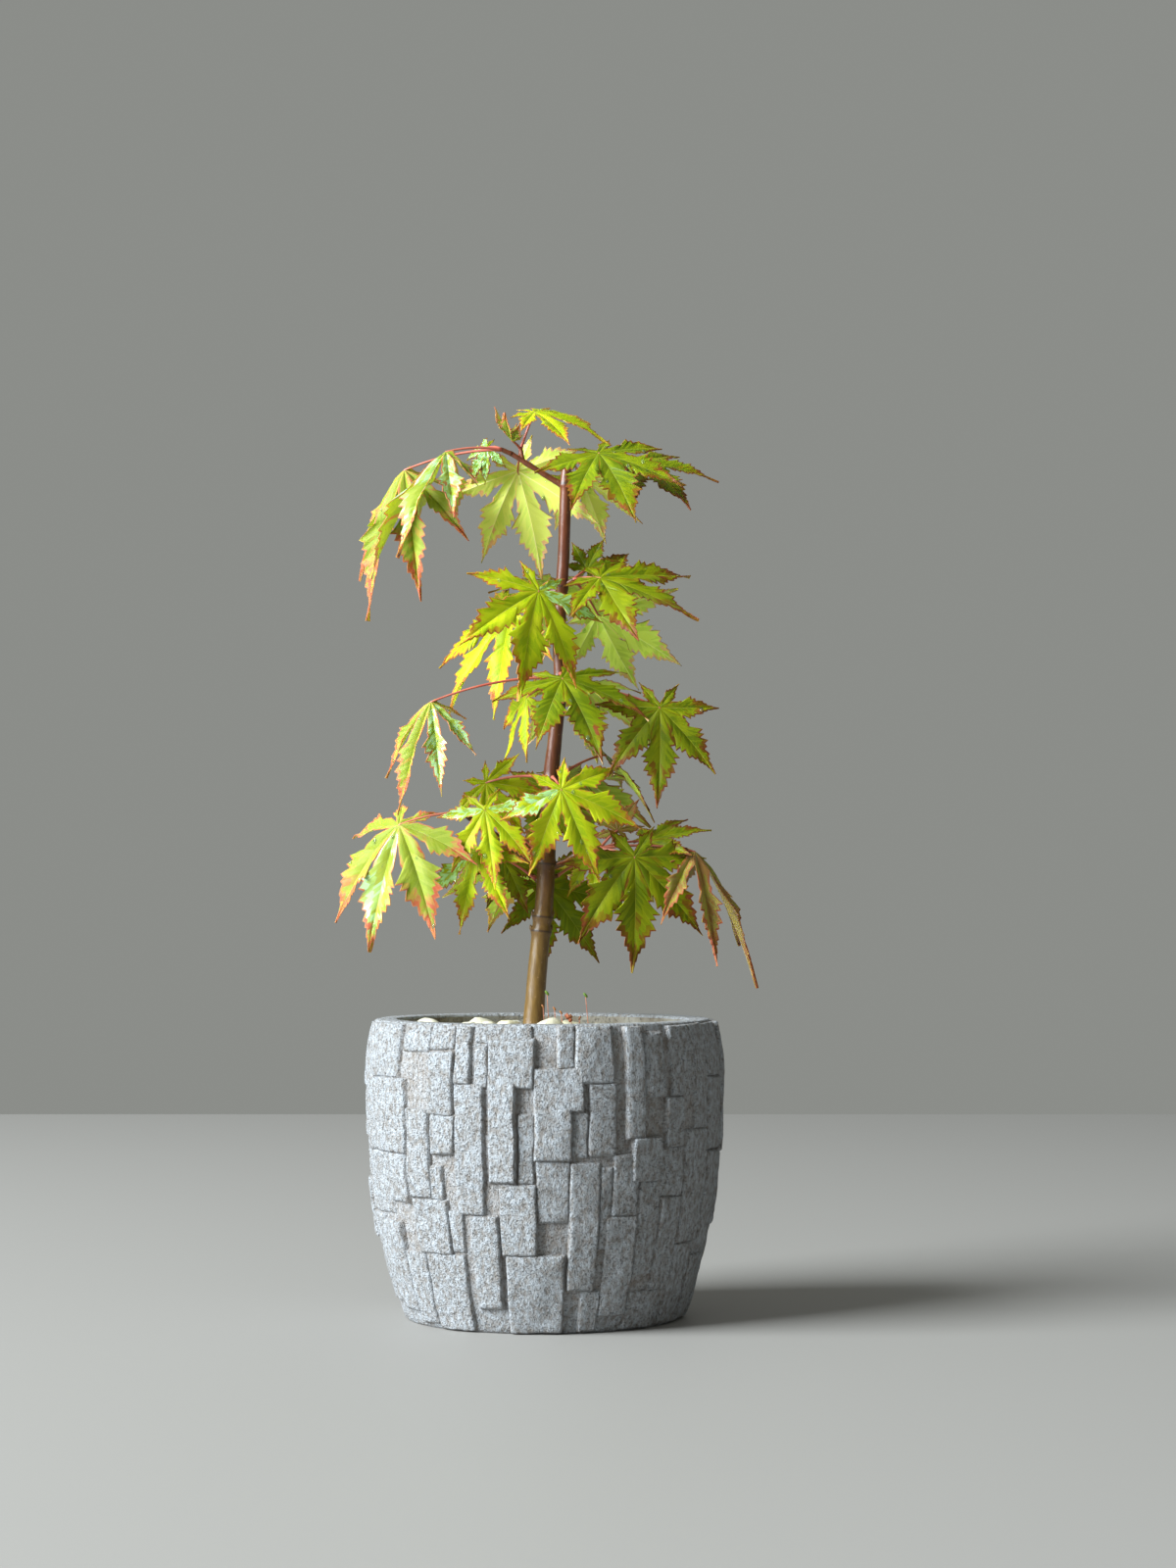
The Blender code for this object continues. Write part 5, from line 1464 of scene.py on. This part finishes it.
water, tree, shader = new_material("water", {
    "Roughness": 0.03,
    "IOR": 1.33,
    "Transmission Weight": 0.92,
    "Base Color": (0.8, 0.93, 0.55, 1),
})
where = node(tree, "ShaderNodeTexCoord").outputs["Object"]
ripples = node(tree, "ShaderNodeTexNoise", {"Vector": where, "Scale": 900.0}).outputs["Fac"]
bumped(tree, shader, ripples, 0.1, 0.05 * MM)
beads = []
for fine in (2, 1):
    bead = bmesh.new()
    bmesh.ops.create_icosphere(bead, subdivisions=fine, radius=1)
    beads.append(bpy.data.meshes.new("bead"))
    bead.to_mesh(beads[-1])
    bead.free()
drop_mesh = bmesh.new()
for place, normal, size, speck in drop_places:
    least, most = DEW_SIZES if speck else DROP_SIZES
    radius = (least + (most - least) * size ** 3) * MM
    longer = 1 + DROP_STRETCH * size ** 4
    stretch = Matrix.Diagonal((radius, radius * longer, radius * DROP_FLATNESS, 1))
    turn = normal.to_track_quat("Z", "Y").to_matrix().to_4x4()
    lie = Matrix.Translation(place + normal * radius * DROP_LIFT)
    bead = beads[speck].copy()
    bead.transform(lie @ turn @ stretch)
    drop_mesh.from_mesh(bead)
    bpy.data.meshes.remove(bead)
new_piece("water_drops", drop_mesh, (water,))

# Floor, light and camera
# A plain pale floor in one soft, wide light from the upper left. The camera stands a little above
# the rim of the pot.

FLOOR_HALF = (3, 1.6, 1)
FLOOR_MIDDLE = (0, -0.52, 0)
LIGHT_PLACE = Vector((-2.22, -1.08, 1.42))
LIGHT_TARGET = Vector((0, 0, 0.16))
LIGHT_SIZE = 1.75
LIGHT_POWER = 282
LIGHT_COLOUR = (0.9, 0.965, 1)
CAMERA_PLACE = (0.0163, -1.137, 0.1485)
CAMERA_PITCH = 92.18
LENS_LENGTH = 72
SENSOR_HEIGHT = 36

floor_mesh = bmesh.new()
bmesh.ops.create_grid(floor_mesh, x_segments=1, y_segments=1, size=1)
bmesh.ops.scale(floor_mesh, vec=FLOOR_HALF, verts=floor_mesh.verts)
bmesh.ops.translate(floor_mesh, vec=FLOOR_MIDDLE, verts=floor_mesh.verts)
floor_data = bpy.data.meshes.new("floor")
floor_mesh.to_mesh(floor_data)
floor_mesh.free()
floor = bpy.data.objects.new("floor", floor_data)
bpy.context.scene.collection.objects.link(floor)
pale = new_material("pale_floor", {"Base Color": (0.29, 0.28, 0.265, 1), "Roughness": 0.6})[0]
floor_data.materials.append(pale)

world = bpy.data.worlds.new("studio")
world.use_nodes = True
world.node_tree.nodes["Background"].inputs["Color"].default_value = (0.26, 0.268, 0.252, 1)
world.node_tree.nodes["Background"].inputs["Strength"].default_value = 1
bpy.context.scene.world = world

glow = bpy.data.lights.new("daylight", "AREA")
glow.shape = "SQUARE"
glow.size = LIGHT_SIZE
glow.energy = LIGHT_POWER
glow.color = LIGHT_COLOUR
light = bpy.data.objects.new("daylight", glow)
light.location = LIGHT_PLACE
light.rotation_euler = (LIGHT_TARGET - LIGHT_PLACE).to_track_quat("-Z", "Y").to_euler()
bpy.context.scene.collection.objects.link(light)
bpy.context.scene.view_settings.view_transform = "Standard"

lens = bpy.data.cameras.new("camera")
lens.lens = LENS_LENGTH
lens.sensor_fit = "VERTICAL"
lens.sensor_height = SENSOR_HEIGHT
camera = bpy.data.objects.new("camera", lens)
camera.location = CAMERA_PLACE
camera.rotation_euler = (math.radians(CAMERA_PITCH), 0, 0)
bpy.context.scene.collection.objects.link(camera)
bpy.context.scene.camera = camera
